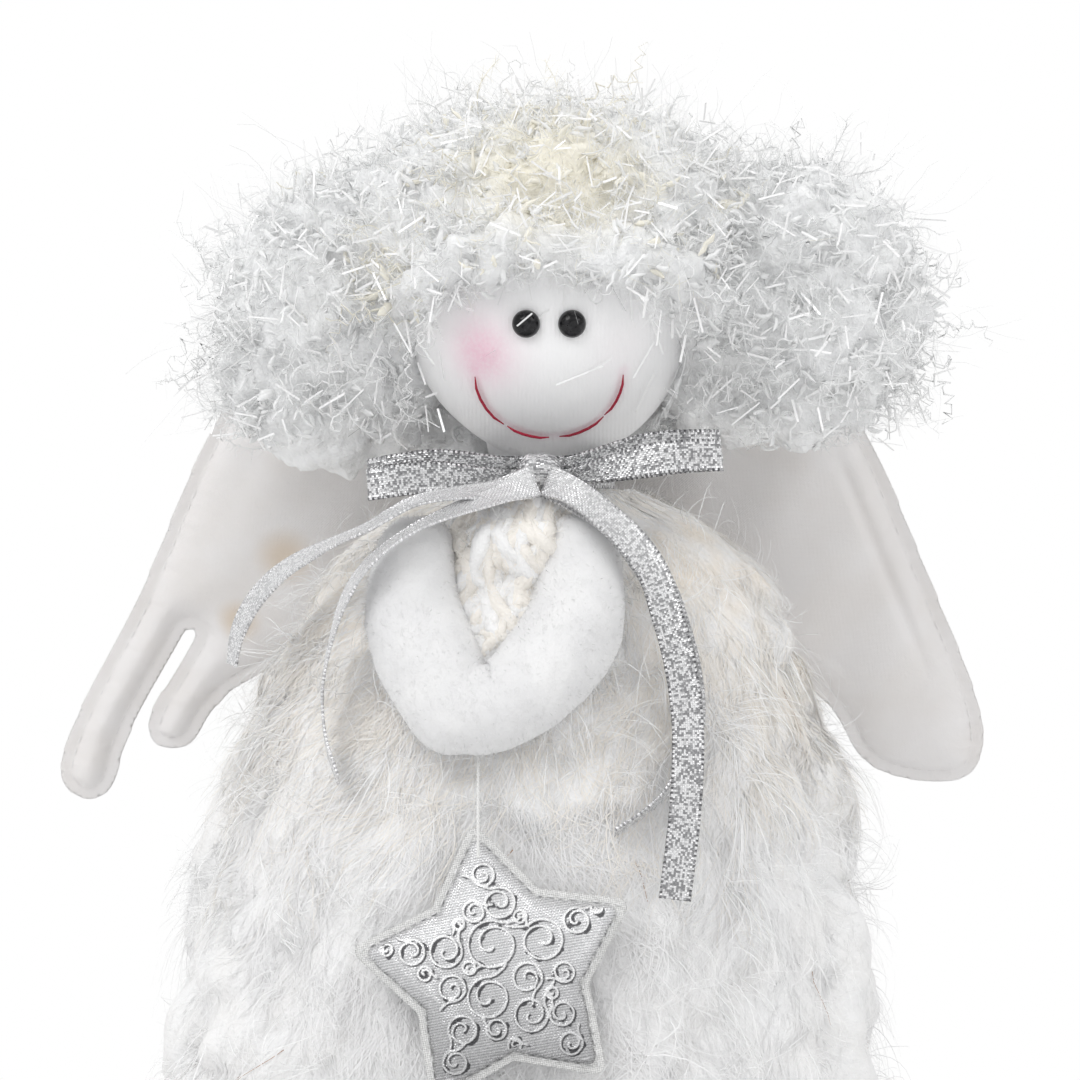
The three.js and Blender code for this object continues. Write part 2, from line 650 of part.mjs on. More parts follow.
// Wings
const backY = (x, z) => BODY_DEPTH * Math.sqrt(dressRadius(z) ** 2 - (x - axisX(z)) ** 2);
const seamFoot = SEAM_HEIGHT - SEAM_HALF;
const wingLean = degrees(WING_LEAN);
const wingsX = axisX(SEAM_HEIGHT);
const seamBack = Math.max(...[-1, 1].map((side) => backY(wingsX + side * SEAM_X, seamFoot)));
const seamY = seamBack + WING_PUFF + GAP - SEAM_HALF * Math.tan(wingLean);

// The crest and the upper outer edge, which both wings have, as drawn on the right
function wingCrest() {
  const [s, c, d] = [WING_SPAN, WING_CREST, WING_DROP];
  const shape = new THREE.Shape();
  shape.moveTo(WING_FREEDOM, SEAM_HALF);
  shape.bezierCurveTo(0.16 * s, 0.72 * c, 0.26 * s, c, 0.41 * s, c);
  shape.bezierCurveTo(0.57 * s, c, 0.66 * s, 0.45 * c, 0.77 * s, -0.05 * d);
  return shape;
}

// The left wing ends in a long and a short feather, and the right wing in one broad feather
function wingOutline(side) {
  const [s, d] = [WING_SPAN, WING_DROP];
  const shape = wingCrest();
  if (side === "left") {
    shape.bezierCurveTo(0.85 * s, -0.36 * d, 0.985 * s, -0.68 * d, s, -0.87 * d);
    shape.bezierCurveTo(1.01 * s, -1.04 * d, 0.885 * s, -1.08 * d, 0.86 * s, -0.9 * d);
    shape.bezierCurveTo(0.84 * s, -0.72 * d, 0.75 * s, -0.5 * d, 0.685 * s, -0.3 * d);
    shape.lineTo(0.665 * s, -0.3 * d);
    shape.bezierCurveTo(0.715 * s, -0.47 * d, 0.775 * s, -0.58 * d, 0.79 * s, -0.68 * d);
    shape.bezierCurveTo(0.8 * s, -0.83 * d, 0.69 * s, -0.85 * d, 0.655 * s, -0.7 * d);
    shape.bezierCurveTo(0.59 * s, -0.5 * d, 0.45 * s, -0.36 * d, WING_FREEDOM, -SEAM_HALF);
  } else {
    shape.bezierCurveTo(0.84 * s, -0.33 * d, 0.92 * s, -0.6 * d, 0.92 * s, -0.76 * d);
    shape.bezierCurveTo(0.92 * s, -0.93 * d, 0.86 * s, -0.95 * d, 0.79 * s, -0.94 * d);
    shape.bezierCurveTo(0.72 * s, -0.93 * d, 0.64 * s, -0.9 * d, 0.6 * s, -0.76 * d);
    shape.bezierCurveTo(0.55 * s, -0.55 * d, 0.42 * s, -0.36 * d, WING_FREEDOM, -SEAM_HALF);
  }
  return shape;
}

function wing(side, parent) {
  const group = new THREE.Group();
  const outward = new THREE.Vector3(Math.cos(degrees(WING_SWEEP)), Math.sin(degrees(WING_SWEEP)), 0);
  const upward = new THREE.Vector3(0, -Math.sin(wingLean), Math.cos(wingLean));
  upward.addScaledVector(outward, -upward.dot(outward)).normalize();
  const facing = new THREE.Vector3().crossVectors(outward, upward);
  group.quaternion.setFromRotationMatrix(new THREE.Matrix4().makeBasis(outward, upward, facing));
  group.position.set(wingsX * parent.scale.x + SEAM_X, seamY, SEAM_HEIGHT);
  const crownOf = (inset, height) =>
    new THREE.ExtrudeGeometry(wingOutline(side), {
      depth: 2 * GAP,
      bevelThickness: height - GAP,
      bevelSize: WING_BEVEL,
      bevelOffset: -inset - WING_BEVEL,
      bevelSegments: BEVEL_STEPS,
      curveSegments: OUTLINE_STEPS,
    }).translate(0, 0, -GAP);
  const pair = paddedPair(plateOf(wingOutline(side), WING_FLANGE_THICKNESS), crownOf, {
    puff: WING_PUFF,
    flange: WING_FLANGE,
    skin: WING_SKIN,
  });
  add(`${side}_wing_front`, pair.front, satin, group);
  add(`${side}_wing_back`, pair.back, satin, group);
  add(`${side}_wing_filling`, pair.filling, wadding, group);
  parent.add(group);
}
const mirrored = new THREE.Group();
mirrored.scale.x = -1;
angel.add(mirrored);
wing("right", angel);
wing("left", mirrored);

// The felt tab between the wings, trimmed to the back of the dress
const tab = new THREE.BoxGeometry(2 * SEAM_X - WING_FREEDOM, TAB_THICKNESS, 2 * SEAM_HALF)
  .translate(0, (WING_FLANGE_THICKNESS - TAB_THICKNESS) / 2, 0)
  .rotateX(wingLean)
  .translate(wingsX, seamY, SEAM_HEIGHT);
const dressBlock = bodyOf([[0, 0], ...bodyLine(-GAP, 0, COLLAR_HEIGHT), [0, COLLAR_HEIGHT]]);
add("wing_tab", minus(tab, dressBlock), felt);

// Ribbon: a ring round the neck, a knot in front, two loops to each side and four tails
const ringY = NECK_BACK - COLLAR_RING_FORWARD;
const knotMiddle = [neckX, ringY - COLLAR_RING[1] / 2 - KNOT_SIZE[1] / 2 - GAP, COLLAR_HEIGHT + KNOT_RISE];
const ringCurve = (width, depth) =>
  new THREE.EllipseCurve(0, 0, width / 2, depth / 2, 0, 2 * Math.PI).getPoints(20).slice(0, -1);
const ringShape = new THREE.Shape(ringCurve(...COLLAR_RING));
ringShape.holes.push(new THREE.Path(ringCurve(...COLLAR_RING.map((length) => length - 2 * RIBBON))));
const ring = new THREE.ExtrudeGeometry(ringShape, { depth: RIBBON_WIDTH, bevelEnabled: false })
  .translate(neckX, ringY, COLLAR_HEIGHT + GAP);
add("neck_ribbon", ring, lurex);
add("bow_knot", ellipsoid(KNOT_SIZE, knotMiddle, 12, 8), lurex);

// A bow loop: ribbon that runs out from the knot and back, drawn from above and stood on edge
function loop(length) {
  const drop = (half, from, to) => {
    const path = new THREE.Path();
    path.moveTo(from, 0);
    path.bezierCurveTo(from + 0.3 * length, -half, to - 0.1 * length, -1.3 * half, to, -0.3 * half);
    path.bezierCurveTo(to + 0.03 * length, 0, to + 0.03 * length, 0, to, 0.3 * half);
    path.bezierCurveTo(to - 0.1 * length, 1.3 * half, from + 0.3 * length, half, from, 0);
    return path.getPoints(6);
  };
  const shape = new THREE.Shape(drop(LOOP_OPEN / 2 + RIBBON, 0, length));
  shape.holes.push(new THREE.Path(drop(LOOP_OPEN / 2, 4 * RIBBON, length - RIBBON)));
  return new THREE.ExtrudeGeometry(shape, { depth: RIBBON_WIDTH, bevelEnabled: false })
    .translate(0, 0, -RIBBON_WIDTH / 2);
}

function bowLoop(name, side, length, rise, layer) {
  const group = new THREE.Group();
  group.position.set(
    knotMiddle[0] + side * (KNOT_SIZE[0] / 2 + GAP),
    knotMiddle[1] + layer * 2 * RIBBON,
    knotMiddle[2] + (layer * LOOP_STEP) / 2,
  );
  const turn = side > 0 ? layer * LOOP_SPREAD : 180 - layer * LOOP_SPREAD;
  group.rotation.set(0, -side * degrees(rise), degrees(turn), "YZX");
  add(name, loop(length), lurex, group);
  angel.add(group);
}
bowLoop("bow_loop_right_front", 1, RIGHT_LOOP_LENGTH, RIGHT_LOOP_RISE, -1);
bowLoop("bow_loop_right_back", 1, RIGHT_LOOP_LENGTH, RIGHT_LOOP_RISE, 1);
bowLoop("bow_loop_left_front", -1, LEFT_LOOP_LENGTH, LEFT_LOOP_RISE, -1);
bowLoop("bow_loop_left_back", -1, LEFT_LOOP_LENGTH, LEFT_LOOP_RISE, 1);

// The tails, each from the front of the knot over a shoulder and down the dress, as points from the knot
const tail = (name, route) => add(name, strip(route).translate(...knotMiddle), lurex);
tail("tail_right_long", [
  [[1.2, -5.1, -1.8], [0, -1, 0]],
  [[6.5, -9.1, -4], [0, -0.8, 0.6]],
  [[12, -11.1, -8], [0, -0.75, 0.65]],
  [[17.6, -12.3, -13.2], [0.2, -0.9, 0.35]],
  [[22.4, -11.3, -20.1], [0.15, -1, 0.1]],
  [[25.2, -10.3, -28.6], [0, -1, 0.1]],
  [[27.6, -9.7, -37.6], [0, -1, 0]],
  [[29.2, -11.2, -49.6], [0, -1, 0]],
  [[28.8, -14.7, -65.6], [0, -1, 0]],
  [[26.6, -17.2, -84.6], [0, -1, 0.1]],
]);
tail("tail_right_short", [
  [[1.6, -3.8, -2], [0, -1, 0]],
  [[7, -5.9, -5.4], [0, -0.8, 0.6]],
  [[13, -8.5, -9.2], [0, -0.75, 0.65]],
  [[18.6, -8.7, -15], [0.2, -0.9, 0.35]],
  [[23.4, -7.1, -22.1], [0.15, -1, 0.1]],
  [[26.4, -5.9, -30.1], [0, -1, 0]],
  [[28.8, -5.3, -39.1], [0, -1, 0]],
  [[29.8, -5.3, -49.6], [0.4, -0.9, 0]],
  [[28.8, -6.1, -57], [0.9, -0.45, 0]],
  [[25.4, -7.5, -63.2], [0.8, -0.2, -0.6]],
  [[20.6, -9.3, -67.8], [0.6, -0.2, -0.75]],
  [[14.8, -10.7, -71.6], [0.5, -0.2, -0.8]],
]);
tail("tail_left_long", [
  [[-1, -7.5, -1.8], [0, -1, 0]],
  [[-8, -10.7, -4.6], [0, -0.9, 0.4]],
  [[-17, -13.9, -7.8], [0, -0.8, 0.6]],
  [[-25.5, -14.7, -11.6], [-0.2, -0.8, 0.6]],
  [[-33.8, -12.7, -18], [-0.7, -0.6, 0.4]],
  [[-38.6, -8.7, -25.1], [-0.95, -0.3, 0.1]],
  [[-41.6, -4.3, -34.1], [-1, 0, 0]],
  [[-43.2, -1.7, -43.6], [-1, 0, 0]],
  [[-42.4, -3.7, -53.6], [-1, 0, 0]],
  [[-40, -6.2, -61.1], [-1, 0, 0]],
]);
tail("tail_left_short", [
  [[-0.8, -6.3, -2], [0, -1, 0]],
  [[-8, -7.9, -3.6], [0, -1, 0]],
  [[-17, -9.5, -4.4], [0, -1, 0.1]],
  [[-25, -10.1, -6], [0, -0.95, 0.3]],
  [[-33.5, -8.3, -10.6], [-0.2, -0.9, 0.4]],
  [[-43, 3.3, -15.1], [-0.2, -0.9, 0.4]],
  [[-51, 9.3, -19.6], [0, -1, 0.3]],
  [[-57, 13.3, -25.6], [0, -1, 0]],
  [[-60.4, 15.3, -32.1], [0, -1, 0]],
  [[-61.6, 15.8, -38.6], [0, -1, 0]],
]);

export default angel;
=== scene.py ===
"""Yarn angel figurine: a stuffed cloth angel with yarn hair, a long-pile dress, padded wings and a padded star."""

import math

import bmesh
import bpy
import numpy as np
from bpy.props import FloatProperty, FloatVectorProperty, IntProperty, PointerProperty
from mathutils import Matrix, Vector, geometry
from mathutils.kdtree import KDTree


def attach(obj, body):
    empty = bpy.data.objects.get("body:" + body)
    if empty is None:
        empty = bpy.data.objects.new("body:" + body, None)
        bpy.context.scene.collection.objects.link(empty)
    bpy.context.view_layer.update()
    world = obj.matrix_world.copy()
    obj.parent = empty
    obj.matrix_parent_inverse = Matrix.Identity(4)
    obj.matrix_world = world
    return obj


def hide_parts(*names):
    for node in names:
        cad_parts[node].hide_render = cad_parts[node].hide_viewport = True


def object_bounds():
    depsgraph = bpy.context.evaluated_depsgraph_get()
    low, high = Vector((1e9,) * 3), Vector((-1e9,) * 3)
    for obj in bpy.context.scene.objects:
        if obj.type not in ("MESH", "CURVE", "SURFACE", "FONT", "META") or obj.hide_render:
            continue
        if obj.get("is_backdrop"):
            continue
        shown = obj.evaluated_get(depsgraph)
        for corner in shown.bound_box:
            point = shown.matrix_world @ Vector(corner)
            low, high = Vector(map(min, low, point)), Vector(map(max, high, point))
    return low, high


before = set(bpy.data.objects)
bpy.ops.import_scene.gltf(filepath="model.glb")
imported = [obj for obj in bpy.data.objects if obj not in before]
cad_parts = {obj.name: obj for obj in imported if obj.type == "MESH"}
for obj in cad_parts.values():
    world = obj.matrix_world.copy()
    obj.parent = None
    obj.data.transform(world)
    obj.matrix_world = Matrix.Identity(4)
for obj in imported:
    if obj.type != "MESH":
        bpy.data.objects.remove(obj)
CAD_BOX = [list(corner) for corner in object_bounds()]

bl_info = {
    "name": "Yarn angel figurine",
    "version": (1, 0, 0),
    "blender": (4, 5, 0),
    "location": "3D View > Sidebar > Yarn angel",
    "description": "Makes the soft pieces, fibres and materials of a stuffed yarn angel round its CAD frame",
    "category": "Object",
}

MM = 0.001
DOWN = np.array([0.0, 0.0, -1.0])
WHITE = (1, 1, 1, 1)
# A fibre's own number picks its tone: plain up to PLAIN, the accent from ACCENT on, and the deep accent at DEEP
PLAIN, ACCENT, DEEP = 0.79, 0.8, 0.98


# Lines and fields


def unit(vectors):
    return vectors / np.maximum(np.linalg.norm(vectors, axis=-1, keepdims=True), 1e-12)


def smoothstep(low, high, value):
    share = np.clip((value - low) / (high - low), 0, 1)
    return share * share * (3 - 2 * share)


def through(points, steps):
    """A smooth line through the given points (centripetal Catmull-Rom), with some steps from each to the next."""
    p = np.asarray(points, float)
    p = np.vstack([2 * p[0] - p[1], p, 2 * p[-1] - p[-2]])
    line = []
    for a, b, c, d in zip(p, p[1:], p[2:], p[3:]):
        k0, k1, k2 = (max(np.linalg.norm(q) ** 0.5, 1e-6) for q in (b - a, c - b, d - c))
        leave = ((b - a) / k0 - (c - a) / (k0 + k1) + (c - b) / k1) * k1
        reach = ((c - b) / k1 - (d - b) / (k1 + k2) + (d - c) / k2) * k1
        for t in np.arange(steps) / steps:
            s = 1 - t
            line.append(s * s * ((1 + 2 * t) * b + t * leave) + t * t * ((1 + 2 * s) * c - s * reach))
    return np.array([*line, p[-2]])


def reach_along(line):
    """How far each point of a line is from its start, along the line."""
    return np.r_[0, np.cumsum(np.linalg.norm(np.diff(line, axis=0), axis=1))]


def evenly(line, count):
    """The same line with evenly spaced points."""
    reach = reach_along(line[:, :3])
    at = np.linspace(0, reach[-1], count)
    return np.stack([np.interp(at, reach, column) for column in line.T], 1)


def wander(points, size, seed):
    """A smooth random direction at each point, which changes over about the given distance."""
    rng = np.random.default_rng(seed)
    total = np.zeros(points.shape)
    for _ in range(7):
        wave = rng.normal(size=3) * 2.2 / size
        total += np.sin(points @ wave + rng.uniform(0, 2 * np.pi))[..., None] * rng.normal(size=3)
    return total / 3


def bell(distance, width):
    """1 at no distance, falling to nothing beyond the width."""
    return np.exp(-((distance / width) ** 2))


def off_normal(normals, spread, rng):
    """The way each flat fibre faces: its ground's normal, a little off at random."""
    return unit(normals + rng.normal(0, spread, normals.shape))


def accented(chosen, rng):
    """A random number for each fibre, with the accent colour for the chosen ones."""
    n = len(chosen)
    return np.where(chosen, ACCENT + 0.15 * rng.random(n), PLAIN * rng.random(n))


def search_tree(points):
    tree = KDTree(len(points))
    for i, point in enumerate(points.tolist()):
        tree.insert(point, i)
    tree.balance()
    return tree


def distances(tree, points):
    """How far each point is from the nearest one in the tree."""
    return np.array([tree.find(point)[2] for point in points.tolist()])


# Meshes


def set_uv(mesh, uv, name):
    """A UV map, from one pair for each point."""
    corners = np.empty(len(mesh.loops), np.int32)
    mesh.loops.foreach_get("vertex_index", corners)
    mesh.uv_layers.new(name=name).data.foreach_set("uv", np.asarray(uv, np.float32)[corners].ravel())


def set_value(mesh, name, values):
    """An attribute with one number for each point, which a material reads."""
    mesh.attributes.new(name, "FLOAT", "POINT").data.foreach_set("value", values.astype(np.float32))


def mesh_of(name, points, faces, uv, uv_name="OFBake", normals=None):
    """A smooth mesh from arrays; uv has one pair for each point."""
    mesh = bpy.data.meshes.new(name)
    mesh.vertices.add(len(points))
    mesh.vertices.foreach_set("co", np.asarray(points, np.float32).ravel())
    mesh.loops.add(faces.size)
    mesh.loops.foreach_set("vertex_index", faces.astype(np.int32).ravel())
    mesh.polygons.add(len(faces))
    mesh.polygons.foreach_set("loop_start", np.arange(0, faces.size, faces.shape[1], dtype=np.int32))
    mesh.polygons.foreach_set("use_smooth", np.ones(len(faces), bool))
    mesh.update(calc_edges=True)
    set_uv(mesh, uv, uv_name)
    if normals is not None:
        mesh.normals_split_custom_set_from_vertices(np.asarray(normals, np.float32).tolist())
    return mesh


def strand_uv(strand, count, repeats):
    """UV pairs of fibres: each one's own number and the way along it, repeated for the points side by side."""
    uv = np.stack(np.broadcast_arrays(strand[:, None], np.linspace(0.02, 0.98, count)), -1)
    return np.repeat(uv.reshape(-1, 2), repeats, axis=0)


def ring_faces(rings, sides):
    """Quads from each of the numbered rings of points to the next one."""
    side = np.arange(sides)
    a, b = (rings[..., None] * sides + corner for corner in (side, (side + 1) % sides))
    return np.stack([a, b, b + sides, a + sides], -1).reshape(-1, 4)


def strips(name, paths, facing, widths, strand, ground=None):
    """Flat fibres: lines of shape (fibres, points, 3) with the way each faces, and a width at each point."""
    n, k, _ = paths.shape
    along = np.gradient(paths, axis=1)
    half = unit(np.cross(along, facing[:, None])) * (widths / 2)[..., None]
    points = np.stack([paths - half, paths + half], 2).reshape(-1, 3)
    first = (np.arange(n)[:, None] * k + np.arange(k - 1)) * 2
    faces = np.stack([first, first + 1, first + 3, first + 2], -1).reshape(-1, 4)
    normals = None
    if ground is not None:
        own = unit(np.cross(half, along))
        normals = np.repeat(unit(own * 0.45 + ground[:, None]).reshape(-1, 3), 2, axis=0)
    return mesh_of(name, points, faces, strand_uv(strand, k, 2), normals=normals)


def tubes(name, paths, radii, sides, strand):
    """Round yarns: lines of shape (yarns, points, 3) with a radius at each point."""
    n, k, _ = paths.shape
    along = unit(np.gradient(paths, axis=1))
    guide = unit(paths[:, -1] - paths[:, 0])
    spare = np.where(np.abs(guide[:, 2:]) > 0.7, [1.0, 0.3, 0], [0.2, 0.1, 1.0])
    across = unit(np.cross(along, unit(np.cross(guide, spare))[:, None]))
    up = np.cross(along, across)
    turn = np.arange(sides) * 2 * np.pi / sides
    ring = across[:, :, None] * np.cos(turn)[:, None] + up[:, :, None] * np.sin(turn)[:, None]
    points = (paths[:, :, None] + ring * radii[..., None, None]).reshape(-1, 3)
    faces = ring_faces(np.arange(n)[:, None] * k + np.arange(k - 1), sides)
    return mesh_of(name, points, faces, strand_uv(strand, k, sides))


def finished(form, name):
    """A smooth mesh from a bmesh, which is freed."""
    for face in form.faces:
        face.smooth = True
    mesh = bpy.data.meshes.new(name)
    form.to_mesh(mesh)
    form.free()
    return mesh


def mixed_mesh(name, points, faces):
    """A smooth mesh from points and faces with any number of corners, in the same order on each run."""
    mesh = bpy.data.meshes.new(name)
    mesh.from_pydata(points.tolist(), [], faces)
    mesh.polygons.foreach_set("use_smooth", np.ones(len(mesh.polygons), bool))
    return mesh


def ball(name, segments, rows):
    """A smooth sphere with a radius of 1."""
    side = np.arange(segments)
    turn = side * 2 * np.pi / segments
    down = np.arange(1, rows)[:, None] * np.pi / rows
    round_it = np.sin(down)
    rings = np.stack(np.broadcast_arrays(round_it * np.cos(turn), round_it * np.sin(turn), np.cos(down)), -1)
    points = np.vstack([rings.reshape(-1, 3), [(0, 0, 1), (0, 0, -1)]])
    top, last = len(points) - 2, (rows - 2) * segments
    after = (side + 1) % segments
    upper = np.stack([np.full(segments, top), side, after], 1)
    lower = np.stack([np.full(segments, top + 1), last + after, last + side], 1)
    quads = ring_faces(np.arange(rows - 2), segments)[:, ::-1]
    return mixed_mesh(name, points, [*upper.tolist(), *quads.tolist(), *lower.tolist()])


def place(mesh, material, body, slot, *nodes):
    """A finished piece named as its mesh, on its body, with its material and the CAD nodes that it stands for; the
    slot is not used.
    """
    piece = bpy.data.objects.new(mesh.name, mesh)
    bpy.context.scene.collection.objects.link(piece)
    mesh.materials.append(material)
    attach(piece, body)
    if nodes:
        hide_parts(*nodes)
    return piece


SUBDIVIDED = ("SUBSURF", {"levels": 1, "render_levels": 1})


def applied(mesh, *modifiers):
    """The mesh with modifiers, given as (kind, settings), applied; it takes the place of the first mesh."""
    name = mesh.name
    helper = bpy.data.objects.new("helper", mesh)
    bpy.context.scene.collection.objects.link(helper)
    for kind, settings in modifiers:
        modifier = helper.modifiers.new(kind, kind)
        for key, value in settings.items():
            setattr(modifier, key, value)
    graph = bpy.context.evaluated_depsgraph_get()
    result = bpy.data.meshes.new_from_object(helper.evaluated_get(graph))
    bpy.data.objects.remove(helper)
    bpy.data.meshes.remove(mesh)
    result.name = name
    return result


def soft_copy(name, nodes, voxel, rounds, lumps=()):
    """CAD nodes melted into one closed, rounded mesh, with lumps given by their middles and half sizes."""
    form = bmesh.new()
    for node in nodes:
        form.from_mesh(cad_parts[node].data)
    for middle, half in lumps:
        lump = bmesh.ops.create_icosphere(form, subdivisions=3, radius=1)["verts"]
        bmesh.ops.scale(form, vec=half, verts=lump)
        bmesh.ops.translate(form, vec=middle, verts=lump)
    bmesh.ops.remove_doubles(form, verts=form.verts, dist=1e-6)
    mesh = applied(
        finished(form, name),
        ("REMESH", {"mode": "VOXEL", "voxel_size": voxel}),
        ("SMOOTH", {"factor": 0.5, "iterations": rounds}),
    )
    mesh.materials.clear()
    mesh.polygons.foreach_set("use_smooth", np.ones(len(mesh.polygons), bool))
    return mesh


def vectors_of(rows, key):
    values = np.empty(len(rows) * 3, np.float32)
    rows.foreach_get(key, values)
    return values.reshape(-1, 3).astype(float)


def points_of(mesh):
    return vectors_of(mesh.vertices, "co")


def normals_of(mesh):
    return vectors_of(mesh.vertex_normals, "vector")


def move_points(mesh, points):
    mesh.vertices.foreach_set("co", np.asarray(points, np.float32).ravel())
    mesh.update()


def scatter(mesh, count, rng):
    """Random places on a mesh, evenly by area, with their normals."""
    mesh.calc_loop_triangles()
    corners = np.empty(len(mesh.loop_triangles) * 3, np.int32)
    mesh.loop_triangles.foreach_get("vertices", corners)
    a, b, c = points_of(mesh)[corners.reshape(-1, 3)].transpose(1, 0, 2)
    na, nb, nc = normals_of(mesh)[corners.reshape(-1, 3)].transpose(1, 0, 2)
    area = np.linalg.norm(np.cross(b - a, c - a), axis=1)
    pick = rng.choice(len(area), count, p=area / area.sum())
    u, v = rng.random((2, count, 1))
    over = u + v > 1
    u, v = np.where(over, 1 - u, u), np.where(over, 1 - v, v)
    w = 1 - u - v
    return w * a[pick] + u * b[pick] + v * c[pick], unit(w * na[pick] + u * nb[pick] + v * nc[pick])


CLOTH = {
    "quality": 6,
    "mass": 0.15,
    "use_pressure": True,
    "tension_stiffness": 12,
    "compression_stiffness": 12,
    "bending_stiffness": 0.4,
    "vertex_group_mass": "held",
}


def inflate(mesh, pinned, pressure, cap, frames):
    """Swells a closed mesh with a cloth simulation, up to a cap; pinned gives how firmly each point is held."""
    before = points_of(mesh)
    helper = bpy.data.objects.new("stuffed", mesh.copy())
    bpy.context.scene.collection.objects.link(helper)
    group = helper.vertex_groups.new(name="held")
    for index in np.flatnonzero(pinned > 0):
        group.add([int(index)], float(pinned[index]), "REPLACE")
    cloth = helper.modifiers.new("Cloth", "CLOTH")
    for key, value in CLOTH.items():
        setattr(cloth.settings, key, value)
    cloth.settings.uniform_pressure_force = pressure
    cloth.settings.effector_weights.gravity = 0
    cloth.collision_settings.use_collision = False
    cloth.point_cache.frame_end = frames
    scene = bpy.context.scene
    for number in range(1, frames + 1):
        scene.frame_set(number)
    graph = bpy.context.evaluated_depsgraph_get()
    swollen = bpy.data.meshes.new_from_object(helper.evaluated_get(graph))
    shift = points_of(swollen) - before
    reach = np.linalg.norm(shift, axis=1, keepdims=True)
    move_points(mesh, before + shift * np.minimum(1, cap / np.maximum(reach, 1e-9)))
    bpy.data.meshes.remove(swollen)
    bpy.data.objects.remove(helper)
    scene.frame_set(1)


# Materials


def add_node(tree, kind, inputs=None, **settings):
    """A new shader node's outputs; its inputs are plain values or other nodes' outputs."""
    node = tree.nodes.new("ShaderNode" + kind)
    for key, value in settings.items():
        setattr(node, key, value)
    for key, value in (inputs or {}).items():
        if isinstance(value, bpy.types.NodeSocket):
            tree.links.new(value, node.inputs[key])
        else:
            node.inputs[key].default_value = value
    return node.outputs


def add_math(tree, operation, first, second=0.0):
    return add_node(tree, "Math", {0: first, 1: second}, operation=operation)[0]


def add_mix(tree, share, first, second, blend="MIX"):
    return add_node(tree, "Mix", {0: share, 6: first, 7: second}, data_type="RGBA", blend_type=blend)[2]


def add_range(tree, value, low, high, out_low=0.0, out_high=1.0):
    inputs = {"Value": value, "From Min": low, "From Max": high, "To Min": out_low, "To Max": out_high}
    return add_node(tree, "MapRange", inputs, interpolation_type="SMOOTHSTEP")[0]


def add_noise(tree, vector, scale, detail):
    return add_node(tree, "TexNoise", {"Vector": vector, "Scale": scale, "Detail": detail})[0]


def add_grey(tree, value):
    return add_node(tree, "CombineColor", {0: value, 1: value, 2: value})[0]


def link(tree, output, socket):
    tree.links.new(output, socket)


def rgb(color):
    return (*color, 1.0)


def new_group(name, inputs, outputs):
    tree = bpy.data.node_groups.new(name, "ShaderNodeTree")
    for label, kind, default in inputs:
        socket = tree.interface.new_socket(label, in_out="INPUT", socket_type="NodeSocket" + kind)
        socket.default_value = default
    for label, kind in outputs:
        tree.interface.new_socket(label, in_out="OUTPUT", socket_type="NodeSocket" + kind)
    return tree, tree.nodes.new("NodeGroupInput").outputs, tree.nodes.new("NodeGroupOutput").inputs


def fibre_group(name):
    """Colour of one fibre: darker at its root, a little different on each, and two accents for some fibres."""
    colors = [(label, "Color", WHITE) for label in ("Root", "Tip", "Accent", "Deep accent")]
    tree, given, result = new_group(
        name,
        [("UV", "Vector", (0, 0, 0)), *colors, ("Spread", "Float", 0.1)],
        [("Color", "Color"), ("Random", "Float"), ("Along", "Float")],
    )
    number, along, _ = add_node(tree, "SeparateXYZ", {0: given["UV"]})
    seed = add_math(tree, "MULTIPLY", number, 977.0)
    hashed = add_node(tree, "TexWhiteNoise", {"W": seed}, noise_dimensions="1D")["Value"]
    tone = add_mix(tree, add_range(tree, along, 0.0, 0.55), given["Root"], given["Tip"])
    tone = add_mix(tree, add_range(tree, number, 0.795, 0.8), tone, given["Accent"])
    tone = add_mix(tree, add_range(tree, number, 0.955, 0.96), tone, given["Deep accent"])
    darker = add_math(tree, "SUBTRACT", 1.0, add_math(tree, "MULTIPLY", hashed, given["Spread"]))
    link(tree, add_mix(tree, 1.0, tone, add_grey(tree, darker), "MULTIPLY"), result["Color"])
    link(tree, hashed, result["Random"])
    link(tree, along, result["Along"])
    return tree


def weave_group(name):
    """A plain weave: the height of threads that pass over and under, and a random glint on each crossing."""
    tree, given, result = new_group(
        name,
        [("Vector", "Vector", (0, 0, 0)), ("Threads", "Float", 1000.0)],
        [("Height", "Float"), ("Glint", "Float")],
    )
    scaled = add_node(tree, "VectorMath", {0: given["Vector"], "Scale": given["Threads"]}, operation="SCALE")[0]
    across = add_node(tree, "SeparateXYZ", {0: scaled})[:2]
    waves = [add_math(tree, "SINE", add_math(tree, "MULTIPLY", way, math.pi)) for way in across]
    rounds = [add_math(tree, "ABSOLUTE", wave) for wave in waves]
    cells = [add_math(tree, "FLOOR", way) for way in across]
    odd = add_math(tree, "PINGPONG", add_math(tree, "ADD", cells[0], cells[1]), 1.0)
    cell = add_node(tree, "CombineXYZ", {0: cells[0], 1: cells[1]})[0]
    link(tree, add_node(tree, "Mix", {0: odd, 2: rounds[0], 3: rounds[1]})[0], result["Height"])
    glint = add_node(tree, "TexWhiteNoise", {"Vector": cell}, noise_dimensions="2D")["Value"]
    link(tree, glint, result["Glint"])
    return tree


def nap_group(name):
    """Brushed cloth: the height of its fine nap and slow changes of its tone."""
    tree, given, result = new_group(
        name,
        [("Vector", "Vector", (0, 0, 0)), ("Nap", "Float", 900.0), ("Patches", "Float", 60.0)],
        [("Height", "Float"), ("Tone", "Float")],
    )
    link(tree, add_noise(tree, given["Vector"], given["Nap"], 3.0), result["Height"])
    link(tree, add_noise(tree, given["Vector"], given["Patches"], 2.0), result["Tone"])
    return tree


GROUPS = {"Fibre tone": fibre_group, "Plain weave": weave_group, "Cloth nap": nap_group}


def use_group(tree, name, inputs):
    return add_node(tree, "Group", inputs, node_tree=bpy.data.node_groups.get(name) or GROUPS[name](name))


